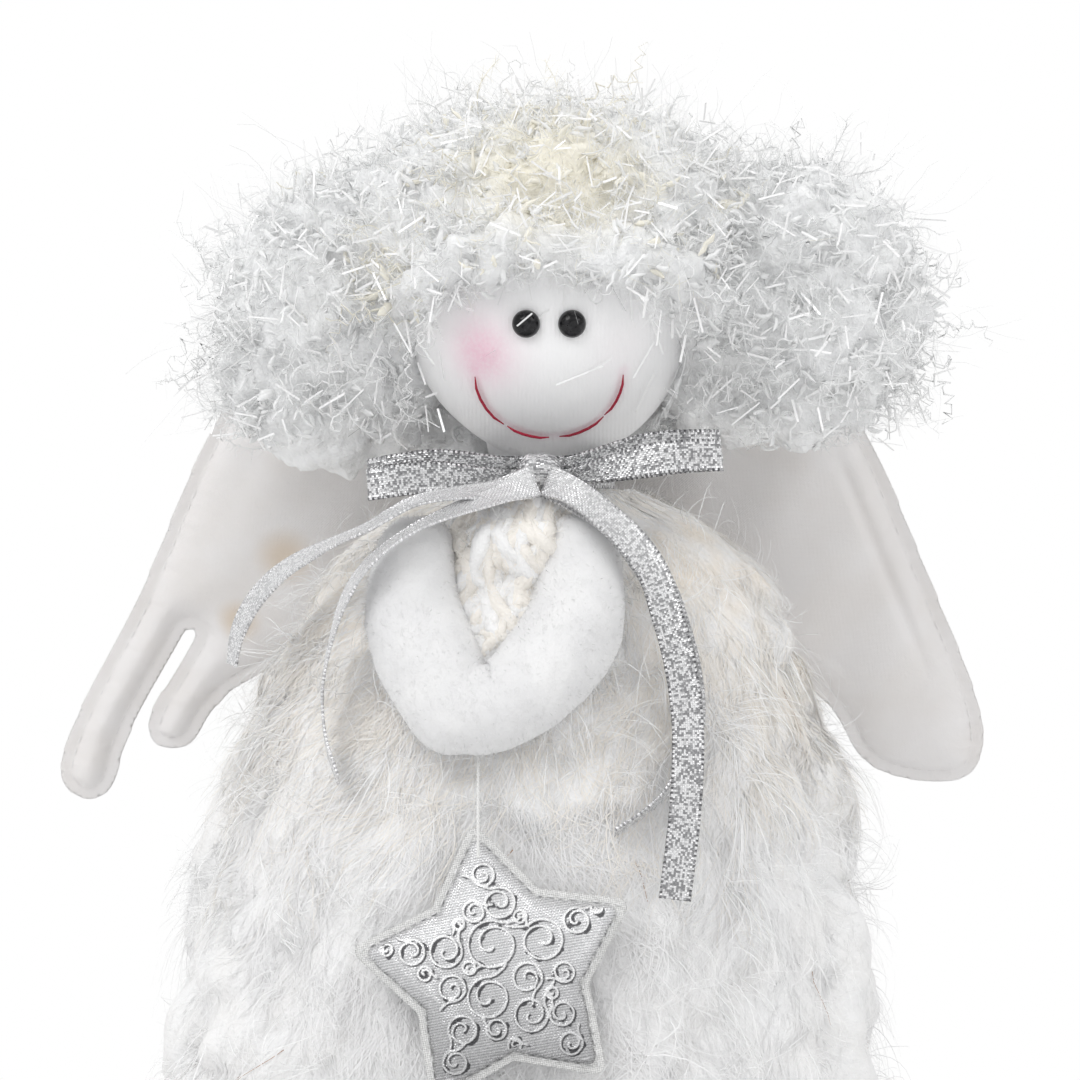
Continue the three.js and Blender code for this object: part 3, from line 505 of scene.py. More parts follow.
def add_weave(tree, vector, threads):
    return use_group(tree, "Plain weave", {"Vector": vector, "Threads": threads})


def add_nap(tree, vector, nap, patches):
    return use_group(tree, "Cloth nap", {"Vector": vector, "Nap": nap, "Patches": patches})


def new_material(name, **plain):
    """A material with a Principled shader, some of whose inputs are the same all over."""
    material = bpy.data.materials.new(name)
    material.use_nodes = True
    tree = material.node_tree
    shader = tree.nodes["Principled BSDF"].inputs
    for key, value in plain.items():
        shader[key.replace("_", " ").title().replace("Ior", "IOR")].default_value = value
    return material, tree, shader


def own_uv(tree, name="OFBake"):
    return add_node(tree, "UVMap", uv_map=name)[0]


def object_place(tree):
    return add_node(tree, "TexCoord")["Object"]


def away_from(tree, spot):
    """How far what is shaded is from a spot."""
    return add_node(tree, "VectorMath", {0: object_place(tree), 1: spot}, operation="DISTANCE")["Value"]


def value_of(tree, name):
    """A number that the mesh has for each point."""
    return add_node(tree, "Attribute", attribute_name=name)["Fac"]


def bump(tree, height, distance):
    return add_node(tree, "Bump", {"Height": height, "Distance": distance, "Strength": 1.0})[0]


def fibre_material(name, tip, accent, spread, root=None, deep=None, **plain):
    """Fur, yarn or tinsel whose colours follow each fibre's own UV map."""
    material, tree, shader = new_material(name, **plain)
    tones = {
        "UV": own_uv(tree),
        "Root": rgb(tip if root is None else root),
        "Tip": rgb(tip),
        "Accent": rgb(accent),
        "Deep accent": rgb(accent if deep is None else deep),
        "Spread": spread,
    }
    link(tree, use_group(tree, "Fibre tone", tones)["Color"], shader["Base Color"])
    return material


def nap_material(name, color, dark, nap, patches, depth, tint=None, **plain):
    """Brushed or felted cloth on Object coordinates; tint changes its tone, given the tree, tone and nap."""
    material, tree, shader = new_material(name, **plain)
    cloth = add_nap(tree, object_place(tree), nap, patches)
    tone = add_mix(tree, add_range(tree, cloth["Tone"], 0.35, 0.7), rgb(dark), rgb(color))
    link(tree, tint(tree, tone, cloth) if tint else tone, shader["Base Color"])
    link(tree, bump(tree, cloth["Height"], depth), shader["Normal"])
    return material


# Shapes that several pieces share

TILT = np.array([5, -2, 214]) * MM
KNOT = np.array([5, -36.3, 206.6]) * MM
HEAD_MIDDLE = np.array([6.8, -9, 240]) * MM
HEAD_HALF = np.array([29, 28, 30.5]) * MM
BODY_DEPTH = 0.78
BODY_LEAN = 5 / 203
DRESS_TOP = 203 * MM
DRESS_LINE = through(np.array([(66, 0), (63, 85), (57, 145), (44, 180), (22, 203)]) * MM, 24)
# What stays free above the floor
CLEAR = 0.5 * MM


def dress_radius(z):
    return np.interp(z, DRESS_LINE[:, 1], DRESS_LINE[:, 0])


def on_dress(turn, z, out=0.0):
    """A point of the dress at a turn about its axis, where a quarter turn back is the front."""
    radius = dress_radius(z) + out
    return np.stack([BODY_LEAN * z + radius * np.cos(turn), BODY_DEPTH * radius * np.sin(turn), z + 0 * turn], -1)


def dress_normal(turn, z):
    step = 2 * MM
    slope = (dress_radius(z + step) - dress_radius(z - step)) / (2 * step)
    return unit(np.stack([np.cos(turn), np.sin(turn) / BODY_DEPTH, -slope + 0 * turn], -1))


def on_face(across, up, out=0.0):
    """A point of the head as seen from the front, from the head's middle, and the way the skin faces there."""
    a, u = np.asarray(across) / HEAD_HALF[0], np.asarray(up) / HEAD_HALF[2]
    ahead = -np.sqrt(np.maximum(1 - a * a - u * u, 0))
    sphere = np.stack([a, ahead, u], -1)
    normal = unit(sphere / HEAD_HALF)
    return HEAD_MIDDLE + sphere * HEAD_HALF + normal * np.asarray(out)[..., None], normal


def smile_place(turn, settings):
    """The stitched smile's line on the face, from one corner of the mouth to the other."""
    across = -settings.smile_half_width * np.cos(turn)
    up = -settings.smile_level - settings.smile_drop * np.sin(turn)
    return across, up


def woven(name, line, faces, settings, drawn_in=1.0):
    """A woven ribbon with thick edge threads along a line, with the way it faces and how far it is drawn in."""
    width = settings.width
    along = unit(np.gradient(line, axis=0))
    across = unit(np.cross(faces, along))
    outward = unit(np.cross(along, across))[:, None]
    share = np.array([-1, -0.93, -0.82, -0.76, -0.4, 0, 0.4, 0.76, 0.82, 0.93, 1.0])
    deep = np.array([0.5, 1.0, 1.0, 0.62, 0.55, 0.55, 0.55, 0.62, 1.0, 1.0, 0.5]) * settings.thickness / 2
    across = across * np.reshape(drawn_in, (-1, 1)) * width / 2
    bow = (1 - np.reshape(drawn_in, (-1, 1, 1))) * width * 0.4 * np.cos(share * 9)[:, None]
    middle = line[:, None] + across[:, None] * share[:, None] + outward * bow
    front, back = middle + outward * deep[:, None], middle - outward * deep[:, None]
    points = np.concatenate([front, back[:, ::-1]], 1)
    k, sides = points.shape[:2]
    u = np.r_[share, share[::-1]] * width / 2 / MM
    uv = np.stack(np.broadcast_arrays(u, (reach_along(line) / MM)[:, None]), -1)
    i = np.arange(len(share) - 1)
    cap = np.stack([i, sides - 1 - i, sides - 2 - i, i + 1], -1)
    faces = np.concatenate([ring_faces(np.arange(k - 1), sides), cap, cap[:, ::-1] + (k - 1) * sides])
    return mesh_of(name, points.reshape(-1, 3), faces, uv.reshape(-1, 2), "Weave")


def closed(outline):
    return np.vstack([outline, outline[:1]])


def around(outline, spacing):
    """Evenly spaced points round a closed outline."""
    line = closed(outline)
    return evenly(line, int(reach_along(line)[-1] / spacing))[:-1]


def panel(outline, spacing):
    """A flat cloth panel: its points with the outline first, its triangles, and each point's way to the edge."""
    edge = around(outline, spacing)
    low, high = edge.min(0), edge.max(0)
    rows = []
    for i, y in enumerate(np.arange(low[1], high[1], spacing * 0.866)):
        x = np.arange(low[0] + (i % 2) * spacing / 2, high[0], spacing)
        rows.append(np.stack([x, np.full(len(x), y)], 1))
    grid = np.concatenate(rows)
    inner = grid[(edge_distance(grid, outline) > 0.55 * spacing) & inside(grid, edge)]
    count = len(edge)
    ring = [(i, (i + 1) % count) for i in range(count)]
    made = geometry.delaunay_2d_cdt([Vector(p) for p in np.vstack([edge, inner])], ring, [], 1, 1e-9)
    points = np.array([tuple(p) for p in made[0]])
    way = edge_distance(points, outline)
    way[:count] = 0
    return points, np.array(made[2]), way, count


def in_space(flat):
    return np.hstack([flat, np.zeros((len(flat), 1))])


def edge_distance(points, outline):
    """How far points are from a closed outline."""
    return distances(search_tree(in_space(evenly(closed(outline), 1200))), in_space(points))


def inside(points, outline):
    """Which points are inside a closed outline, by counting the edges to the right of each."""
    a, b = outline, np.roll(outline, -1, axis=0)
    odd = np.zeros(len(points), bool)
    for (ax, ay), (bx, by) in zip(a, b):
        spans = (ay > points[:, 1]) != (by > points[:, 1])
        if ay != by:
            odd ^= spans & (points[:, 0] < ax + (points[:, 1] - ay) * (bx - ax) / (by - ay))
    return odd


def in_plane(axes, flat, out=0.0):
    """Places in space from those in a panel's plane, and how far out of it; axes are its origin and three ways."""
    origin, u_axis, v_axis, normal = axes
    return origin + flat[:, :1] * u_axis + flat[:, 1:] * v_axis + out * normal


def to_plane(axes, points):
    """Places in a panel's plane, and how far out of it, from those in space."""
    return np.stack([(points - axes[0]) @ axis for axis in axes[1:]], -1)


def pillow(name, outline, spacing, height, axes):
    """Two panels sewn at their edge and stuffed: height gives how far out a point is, from its way to the edge."""
    points, triangles, way, count = panel(outline, spacing)
    rise = height(way)[:, None]
    index = np.arange(len(points))
    back = np.where(index < count, index, index + len(points) - count)
    whole = np.concatenate([in_plane(axes, points, rise), in_plane(axes, points, -rise)[count:]])
    faces = np.concatenate([triangles, back[triangles][:, ::-1]])
    if np.cross(axes[1], axes[2]) @ axes[3] < 0:
        faces = faces[:, ::-1]
    uv = np.concatenate([points, points[count:]]) / MM
    return mesh_of(name, whole, faces, uv, "Weave"), np.concatenate([way, way[count:]])


def stitch_line(outline, inset, length, gap):
    """Dashes along a line sewn inside an outline, as lists of points in the panel's plane."""
    dense = around(outline, 0.25 * MM)
    along = unit(np.roll(dense, -1, axis=0) - np.roll(dense, 1, axis=0))
    inward = np.stack([-along[:, 1], along[:, 0]], 1)
    area = np.sum(dense[:, 0] * np.roll(dense[:, 1], -1) - dense[:, 1] * np.roll(dense[:, 0], -1))
    sewn = dense + inward * inset * np.sign(area)
    good = (edge_distance(sewn, outline) > 0.96 * inset) & inside(sewn, dense)
    dashes, current, walked, drawing = [], [], 0.0, True
    for i, p in enumerate(sewn):
        walked += np.linalg.norm(p - sewn[i - 1])
        if not good[i] or walked > (length if drawing else gap):
            if drawing and len(current) > 3:
                dashes.append(np.array(current))
            current, walked, drawing = [], 0.0, not drawing if good[i] else True
        if drawing and good[i]:
            current.append(p)
    return dashes


def stitches(name, lines, radius, sides=5):
    """Short round stitches along lines of points, each with its ends sunk."""
    paths = np.stack([evenly(line, 6) for line in lines])
    rng = np.random.default_rng(len(lines))
    radii = radius * np.array([0.35, 0.9, 1, 1, 0.9, 0.35])
    return tubes(name, paths, radii, sides, rng.random(len(lines)) * 0.75)


def sewn_edge(name, outline, axes, inset, length, gap, radius):
    """Stitches on both sides of a panel, along a line inside its outline."""
    dashes = stitch_line(outline, inset, length, gap)
    return stitches(name, [in_plane(axes, d, side * 0.42 * MM) for d in dashes for side in (1, -1)], radius)


def bezier(start, first, second, end, steps):
    t = np.linspace(0, 1, steps, endpoint=False)[:, None]
    s = 1 - t
    return s**3 * start + 3 * s * s * t * first + 3 * s * t * t * second + t**3 * end


# Settings that a user would change


def length_prop(name, description, default):
    return FloatProperty(name=name, description=description, default=default, min=0, unit="LENGTH")


def color_prop(name, description, default):
    return FloatVectorProperty(name=name, description=description, default=default, min=0, max=1, subtype="COLOR")


def count_prop(name, description, default):
    return IntProperty(name=name, description=description, default=default, min=1)


class StageSettings(bpy.types.PropertyGroup):
    """Camera and light"""

    distance: length_prop("Camera distance", "From the camera to the front of the figure", 2.5)
    view_width: length_prop("View width", "What the camera sees across at the front of the figure", 0.216)
    level: length_prop("Camera level", "Height of the camera above the floor", 0.193)
    ambient: FloatProperty(name="Ambient", description="Strength of the light from all round", default=0.81)
    key_power: FloatProperty(name="Key", description="Power of the large front lamp", default=11.3, unit="POWER")
    fill_power: FloatProperty(name="Fill", description="Power of the side lamp", default=3.2, unit="POWER")


class RibbonSettings(bpy.types.PropertyGroup):
    """Woven metallic ribbon"""

    width: length_prop("Width", "Width of the woven ribbon", 0.0064)
    thickness: length_prop("Thickness", "Thickness of the woven ribbon", 0.0006)
    silver: color_prop("Silver", "Bright threads", (0.93, 0.93, 0.94))
    grey: color_prop("Grey", "Dull threads", (0.33, 0.33, 0.34))
    edge: color_prop("Edge", "Dark dots along the edges", (0.05, 0.05, 0.055))


class FaceSettings(bpy.types.PropertyGroup):
    """Jersey head with its eyes and smile"""

    skin: color_prop("Skin", "White jersey", (0.975, 0.975, 0.98))
    blush: color_prop("Blush", "Powder on the cheek", (0.9, 0.44, 0.6))
    thread: color_prop("Smile", "Red sewing thread", (0.55, 0.02, 0.06))
    smile_half_width: length_prop("Smile half width", "From the nose to a corner of the mouth", 0.015)
    smile_drop: length_prop("Smile drop", "From the corners of the mouth to its lowest point", 0.013)
    smile_level: length_prop("Smile level", "Corners of the mouth below the head's middle", 0.0135)
    eye_radius: length_prop("Eye radius", "Radius of a bead eye", 0.0028)
    eye_spacing: length_prop("Eye spacing", "From one bead eye to the other", 0.009)
    eye_level: length_prop("Eye level", "Eyes below the head's middle", 0.004)


class HairSettings(bpy.types.PropertyGroup):
    """Curly yarn hair"""

    curls: count_prop("Curls", "Number of crinkled yarns", 620)
    fuzz: count_prop("Fuzz", "Number of fine fibres that lie on the hair", 21000)
    tufts: count_prop("Tufts", "Number of fluffy knots in the yarn", 2600)
    twigs: count_prop("Twigs", "Number of feathered yarn ends", 240)
    tinsel: count_prop("Tinsel", "Number of flat shiny flecks", 2700)
    wisps: count_prop("Wisps", "Number of long fine fibres", 3000)
    white: color_prop("White", "Yarn at its tips", (0.95, 0.955, 0.955))
    grey: color_prop("Grey", "Yarn in the depth", (0.9, 0.905, 0.91))
    cream: color_prop("Cream", "Yarn over the brow", (0.96, 0.93, 0.83))


class DressSettings(bpy.types.PropertyGroup):
    """Knitted dress with long pile"""

    tufts: count_prop("Tufts", "Number of tufts that the pile lies in", 1500)
    fibres: count_prop("Fibres", "Fibres in a tuft", 25)
    wisps: count_prop("Wisps", "Number of long stray fibres", 9600)
    pile: length_prop("Pile", "Length of a tuft", 0.016)
    rise: length_prop("Rise", "How far a tuft stands out", 0.0042)
    fibre_width: length_prop("Fibre width", "Width of a fibre at its root", 0.00018)
    white: color_prop("White", "Pile at its tips", (0.965, 0.965, 0.965))
    # Painted shade: the roots of the pile and the ground under it are a little darker, as shade deep in the pile.
    painted_pile_shade: color_prop("Shade", "Pile at its roots", (0.93, 0.93, 0.933))
    cream: color_prop("Cream", "Yarn of the upper dress", (0.96, 0.925, 0.87))
    tan: color_prop("Tan", "Tan and rusty fibres", (0.42, 0.25, 0.16))


class ArmSettings(bpy.types.PropertyGroup):
    """Stuffed fleece arms"""

    fleece: color_prop("Fleece", "White fleece", (0.86, 0.86, 0.86))
    nap: count_prop("Nap", "Number of fine hairs on the fleece", 16000)


class StarSettings(bpy.types.PropertyGroup):
    """Padded silver star"""

    radius: length_prop("Radius", "From the middle to a tip, with the border", 0.03)
    border: length_prop("Border", "Width of the sheer border", 0.0026)
    puff: length_prop("Puff", "How far the padding stands out to each side", 0.0046)
    relief: length_prop("Relief", "Height of the pressed scrolls", 0.00035)
    dull: color_prop("Dull", "Dull threads of the metallic cloth", (0.42, 0.42, 0.43))
    silver: color_prop("Silver", "Bright threads of the metallic cloth", (0.76, 0.76, 0.77))
    # Colour of the painted highlight on the raised scrolls.
    bright: color_prop("Bright", "Raised scrolls", (0.9, 0.9, 0.91))
    # The groove colour is that of the painted shadow line beside each scroll.
    groove: color_prop("Groove", "Line round each scroll", (0.05, 0.05, 0.055))


class WingSettings(bpy.types.PropertyGroup):
    """Padded satin wings"""

    puff: length_prop("Puff", "How far the padding stands out to each side", 0.0044)
    flange: length_prop("Flange", "Width of the sewn edge", 0.0028)
    satin: color_prop("Satin", "White satin", (0.955, 0.935, 0.93))


# Pieces


class AngelOperator:
    bl_options = {"REGISTER", "UNDO"}


class ANGEL_OT_stage(AngelOperator, bpy.types.Operator):
    """Camera, lamps, pale floor and white background"""

    bl_idname = "angel.stage"
    bl_label = "Stage"

    def execute(self, context):
        settings = context.scene.angel_stage
        front = -20 * MM
        data = bpy.data.cameras.new("camera")
        data.sensor_width = 36
        data.lens = data.sensor_width * settings.distance / settings.view_width
        data.clip_end = 50
        camera = bpy.data.objects.new("camera", data)
        camera.location = (5 * MM, front - settings.distance, settings.level)
        camera.rotation_euler = (math.pi / 2, 0, 0)
        context.scene.collection.objects.link(camera)
        context.scene.camera = camera
        context.scene.view_settings.view_transform = "Standard"
        self.lamp(context, "key lamp", (-0.85, -1.15, 1.45), 1.1, settings.key_power)
        self.lamp(context, "fill lamp", (1.1, -0.9, 1.1), 1.0, settings.fill_power)
        self.floor(context)
        self.surroundings(context, settings)
        return {"FINISHED"}

    def lamp(self, context, name, location, size, power):
        chest = Vector((0, 0, 0.17))
        data = bpy.data.lights.new(name, "AREA")
        data.shape = "DISK"
        data.size = size
        data.energy = power
        lamp = bpy.data.objects.new(name, data)
        lamp.location = location
        lamp.rotation_euler = (chest - Vector(location)).to_track_quat("-Z", "Y").to_euler()
        lamp.visible_camera = False
        context.scene.collection.objects.link(lamp)

    def floor(self, context):
        """A pale floor that goes over into the white background."""
        form = bmesh.new()
        bmesh.ops.create_circle(form, cap_ends=True, segments=96, radius=1.5)
        material, tree, _ = new_material("pale floor", base_color=(0.9, 0.9, 0.9, 1), roughness=0.9)
        middle = add_node(tree, "VectorMath", {0: object_place(tree)}, operation="LENGTH")["Value"]
        seen = add_node(tree, "LightPath")["Is Camera Ray"]
        share = add_math(tree, "MULTIPLY", add_range(tree, middle, 0.22, 0.7), seen)
        white = add_node(tree, "Emission", {"Color": WHITE, "Strength": 1.0})[0]
        cloth = tree.nodes["Principled BSDF"].outputs[0]
        mixed = add_node(tree, "MixShader", {0: share, 1: cloth, 2: white})[0]
        link(tree, mixed, tree.nodes["Material Output"].inputs["Surface"])
        floor = bpy.data.objects.new("floor", finished(form, "floor"))
        floor.data.materials.append(material)
        context.scene.collection.objects.link(floor)
        floor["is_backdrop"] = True

    def surroundings(self, context, settings):
        """White behind the figure, and a paler-above room of light round it."""
        world = bpy.data.worlds.new("white room")
        context.scene.world = world
        world.use_nodes = True
        tree = world.node_tree
        room = tree.nodes["Background"]
        _, back, up = add_node(tree, "SeparateXYZ", {0: add_node(tree, "TexCoord")["Generated"]})
        above = add_range(tree, up, -0.7, 0.8)
        link(tree, add_mix(tree, above, (0.55, 0.55, 0.56, 1), WHITE), room.inputs["Color"])
        room.inputs["Strength"].default_value = settings.ambient
        white = add_node(tree, "Background", {"Color": WHITE, "Strength": 1.0})[0]
        path = add_node(tree, "LightPath")
        behind = add_math(tree, "GREATER_THAN", back, 0.0)
        mirrored = add_math(tree, "MULTIPLY", path["Is Glossy Ray"], behind)
        seen = add_math(tree, "MAXIMUM", path["Is Camera Ray"], path["Is Transmission Ray"])
        share = add_math(tree, "MAXIMUM", seen, mirrored)
        mixed = add_node(tree, "MixShader", {0: share, 1: room.outputs[0], 2: white})[0]
        link(tree, mixed, tree.nodes["World Output"].inputs["Surface"])


def ribbon_material(settings):
    """Metallic ribbon: glinting threads across, with dark dots along its two edges, and a painted highlight where
    the tails leave the knot.
    """
    name = "woven silver ribbon"
    if name in bpy.data.materials:
        return bpy.data.materials[name]
    material, tree, shader = new_material(name, metallic=0.75)
    thread = own_uv(tree, "Weave")
    weave = add_weave(tree, thread, 2.3)
    across, along, _ = add_node(tree, "SeparateXYZ", {0: thread})
    glint = add_range(tree, weave["Glint"], 0.22, 0.62)
    tone = add_mix(tree, glint, rgb(settings.grey), rgb(settings.silver))
    # Painted highlight: the tails are paler near the knot, and their edge dots fainter there.
    pale = value_of(tree, "Pale")
    tone = add_mix(tree, pale, tone, rgb(settings.silver))
    half = settings.width / 2 / MM
    edge = add_range(tree, add_math(tree, "ABSOLUTE", across), 0.8 * half, 0.86 * half)
    dots = add_range(tree, add_math(tree, "PINGPONG", along, 0.5), 0.24, 0.36, 0.0, 0.75)
    dots = add_math(tree, "MULTIPLY", dots, add_range(tree, pale, 0.0, 0.8, 1.0, 0.2))
    tone = add_mix(tree, add_math(tree, "MULTIPLY", edge, dots), tone, rgb(settings.edge))
    link(tree, tone, shader["Base Color"])
    link(tree, add_range(tree, weave["Glint"], 0.0, 1.0, 0.5, 0.24), shader["Roughness"])
    link(tree, bump(tree, weave["Height"], 0.12 * MM), shader["Normal"])
    return material


# Each tail's route in millimetres, with the way that the ribbon faces
TAILS = {
    "tail_right_long": [
        ((6.2, -41.4, 204.8), (0, -1, 0)),
        ((11.5, -45.4, 202.6), (0, -0.8, 0.6)),
        ((17, -47.4, 198.6), (0, -0.75, 0.65)),
        ((22.6, -48.6, 193.4), (0.2, -0.9, 0.35)),
        ((27.4, -47.6, 186.5), (0.15, -1, 0.1)),
        ((30.2, -46.6, 178), (0, -1, 0.1)),
        ((32.6, -46, 169), (0, -1, 0)),
        ((34.2, -47.5, 157), (0, -1, 0)),
        ((33.8, -51, 141), (0, -1, 0)),
        ((31.6, -53.5, 122), (0, -1, 0.1)),
    ],
    "tail_right_short": [
        ((6.6, -40.1, 204.6), (0, -1, 0)),
        ((12, -42.2, 201.2), (0, -0.8, 0.6)),
        ((18, -44.8, 197.4), (0, -0.75, 0.65)),
        ((23.6, -45, 191.6), (0.2, -0.9, 0.35)),
        ((28.4, -43.4, 184.5), (0.15, -1, 0.1)),
        ((31.4, -42.2, 176.5), (0, -1, 0)),
        ((33.8, -41.6, 167.5), (0, -1, 0)),
        ((34.8, -41.6, 157), (0.4, -0.9, 0)),
        ((33.8, -42.4, 149.6), (0.9, -0.45, 0)),
        ((30.4, -43.8, 143.4), (0.8, -0.2, -0.6)),
        ((25.6, -45.6, 138.8), (0.6, -0.2, -0.75)),
        ((19.8, -47, 135), (0.5, -0.2, -0.8)),
    ],
    "tail_left_long": [
        ((4, -43.8, 204.8), (0, -1, 0)),
        ((-3, -47, 202), (0, -0.5, 0.85)),
        ((-12, -50.2, 198.8), (0.1, -0.28, 0.95)),
        ((-20.5, -51, 195), (-0.25, -0.25, 0.92)),
        ((-28.8, -49, 188.6), (-0.8, -0.2, 0.5)),
        ((-33.6, -45, 181.5), (-0.97, -0.14, 0.15)),
        ((-36.6, -40.6, 172.5), (-1, 0, 0)),
        ((-38.2, -38, 163), (-1, 0, 0)),
        ((-37.4, -40, 153), (-1, 0, 0)),
        ((-35, -42.5, 145.5), (-1, 0, 0)),
    ],
    "tail_left_short": [
        ((4.2, -42.6, 204.6), (0, -1, 0)),
        ((-3, -44.2, 203), (0, -0.6, 0.8)),
        ((-12, -45.8, 202.2), (0, -0.35, 0.92)),
        ((-20, -46.4, 200.6), (-0.1, -0.3, 0.92)),
        ((-28.5, -44.6, 196), (-0.3, -0.35, 0.85)),
        ((-38, -33, 191.5), (-0.4, -0.42, 0.8)),
        ((-46, -27, 187), (-0.45, -0.55, 0.65)),
        ((-52, -23, 181), (-0.8, -0.5, 0.3)),
        ((-55.4, -21, 174.5), (-0.9, -0.4, 0)),
        ((-56.6, -20.5, 168), (-0.95, -0.3, 0)),
    ],
}

# How strong the painted highlight on each tail is at the knot, where it catches the light, and how far along it
# that goes
TAIL_HIGHLIGHTS = {
    "tail_right_long": (0.6, 0.5),
    "tail_right_short": (0.5, 3),
    "tail_left_long": (0.7, 3),
    "tail_left_short": (0.65, 3),
}


class ANGEL_OT_ribbon_tails(AngelOperator, bpy.types.Operator):
    """The four limp ribbon tails, each a woven cord that hangs from the knot"""

    bl_idname = "angel.ribbon_tails"
    bl_label = "Ribbon tails"

    def execute(self, context):
        settings = context.scene.angel_ribbon
        material = ribbon_material(settings)
        for name, route in TAILS.items():
            points = through([p for p, _ in route], 12) * MM
            faces = through([n for _, n in route], 12)
            both = evenly(np.hstack([points, faces]), 170)
            line, faces = both[:, :3], both[:, 3:]
            mesh = woven(name + "_ribbon", line, faces, settings)
            # Painted highlight near the knot, fading along the tail.
            strength, reach = TAIL_HIGHLIGHTS[name]
            pale = strength * smoothstep(reach, 0, np.linspace(0, 1, len(line)))
            set_value(mesh, "Pale", np.repeat(pale, len(mesh.vertices) // len(line)))
            tail = place(mesh, material, "torso", "lurex", name)
        return {"FINISHED"}


class ANGEL_OT_bow(AngelOperator, bpy.types.Operator):
    """The ribbon round the neck, its knot and the doubled loops of the bow"""

    bl_idname = "angel.bow"
    bl_label = "Bow"

    def execute(self, context):
        settings = context.scene.angel_ribbon
        material = ribbon_material(settings)
        wide, deep = 0.0297, 0.0457
        turn = np.linspace(-0.5, 1.5, 140) * np.pi
        ring = np.stack([wide / 2 * np.cos(turn), deep / 2 * np.sin(turn), 0 * turn], 1)
        outward = unit(ring / np.array([0.015, 0.023, 1]) ** 2)
        ring += np.array([5, -10, 206.5]) * MM
        place(woven("neck_ribbon_band", ring, outward, settings), material, "torso", "lurex", "neck_ribbon")
        self.knot(material)
        for side, word, length, rise in ((1, "right", 31, 8), (-1, "left", 29, -3)):
            for layer, depth in ((-1, "front"), (1, "back")):
                self.loop(settings, material, f"bow_loop_{word}_{depth}", side, length * MM, rise, layer)
        return {"FINISHED"}

    def knot(self, material):
        mesh = ball("bow_knot_wrap", 40, 28)
        x, y, z = points_of(mesh).T
        ahead = np.where(np.abs(y) + np.abs(z) > 0.01, -y, 1)
        set_uv(mesh, np.stack([2.6 * x, 9 * np.arctan2(z, ahead) / 2], 1), "Weave")
        fold = 1 - 0.09 * (0.5 + 0.5 * np.cos(9 * x + 2.2 * z)) * (1 - x * x)
        pinch = 1 - 0.12 * np.exp(-((x * 2.2) ** 2))
        half = np.array([4.5, 3, 4.2]) * MM
        move_points(mesh, KNOT + np.stack([x, y * fold, z * fold * pinch], 1) * half)
        place(mesh, material, "torso", "lurex", "bow_knot")

    def loop(self, settings, material, name, side, length, rise, layer):
        half = 2.3 * MM
        start, tip_in, tip_out = np.array([(0, 0), (length, -0.3 * half), (length, 0.3 * half)])
        bulge = 1.03 * length
        line = np.concatenate(
            [
                bezier(start, (0.3 * length, -half), (0.9 * length, -1.3 * half), tip_in, 40),
                bezier(tip_in, (bulge, 0), (bulge, 0), tip_out, 14),
                bezier(tip_out, (0.9 * length, 1.3 * half), (0.3 * length, half), start, 40),
                [start],
            ]
        )
        line = evenly(line, 120)
        along = unit(np.gradient(line, axis=0))
        faces = np.stack([along[:, 1], -along[:, 0], 0 * along[:, 0]], 1)
        points = np.hstack([line, np.zeros((len(line), 1))])
        share = np.linspace(0, 1, len(line))
        droop = 0.3 * np.sin(7 * share + layer) + 1.3 * np.sin(np.pi * points[:, 0] / length)
        points[:, 2] += droop * MM * np.sin(np.pi * share)
        turn = math.radians(layer * 7 if side > 0 else 180 - layer * 7)
        lift = math.radians(-side * rise)
        spin = np.array([[math.cos(turn), -math.sin(turn), 0], [math.sin(turn), math.cos(turn), 0], [0, 0, 1]])
        tip = np.array([[math.cos(lift), 0, math.sin(lift)], [0, 1, 0], [-math.sin(lift), 0, math.cos(lift)]])
        whole = tip @ spin
        root = KNOT + np.array([side * 4.8, layer * 1.2, layer * 1.2]) * MM
        drawn_in = 0.6 + 0.4 * smoothstep(0, 0.3, share) * smoothstep(1, 0.7, share)
        mesh = woven(name + "_ribbon", points @ whole.T + root, faces @ whole.T, settings, drawn_in)
        place(mesh, material, "torso", "lurex", name)


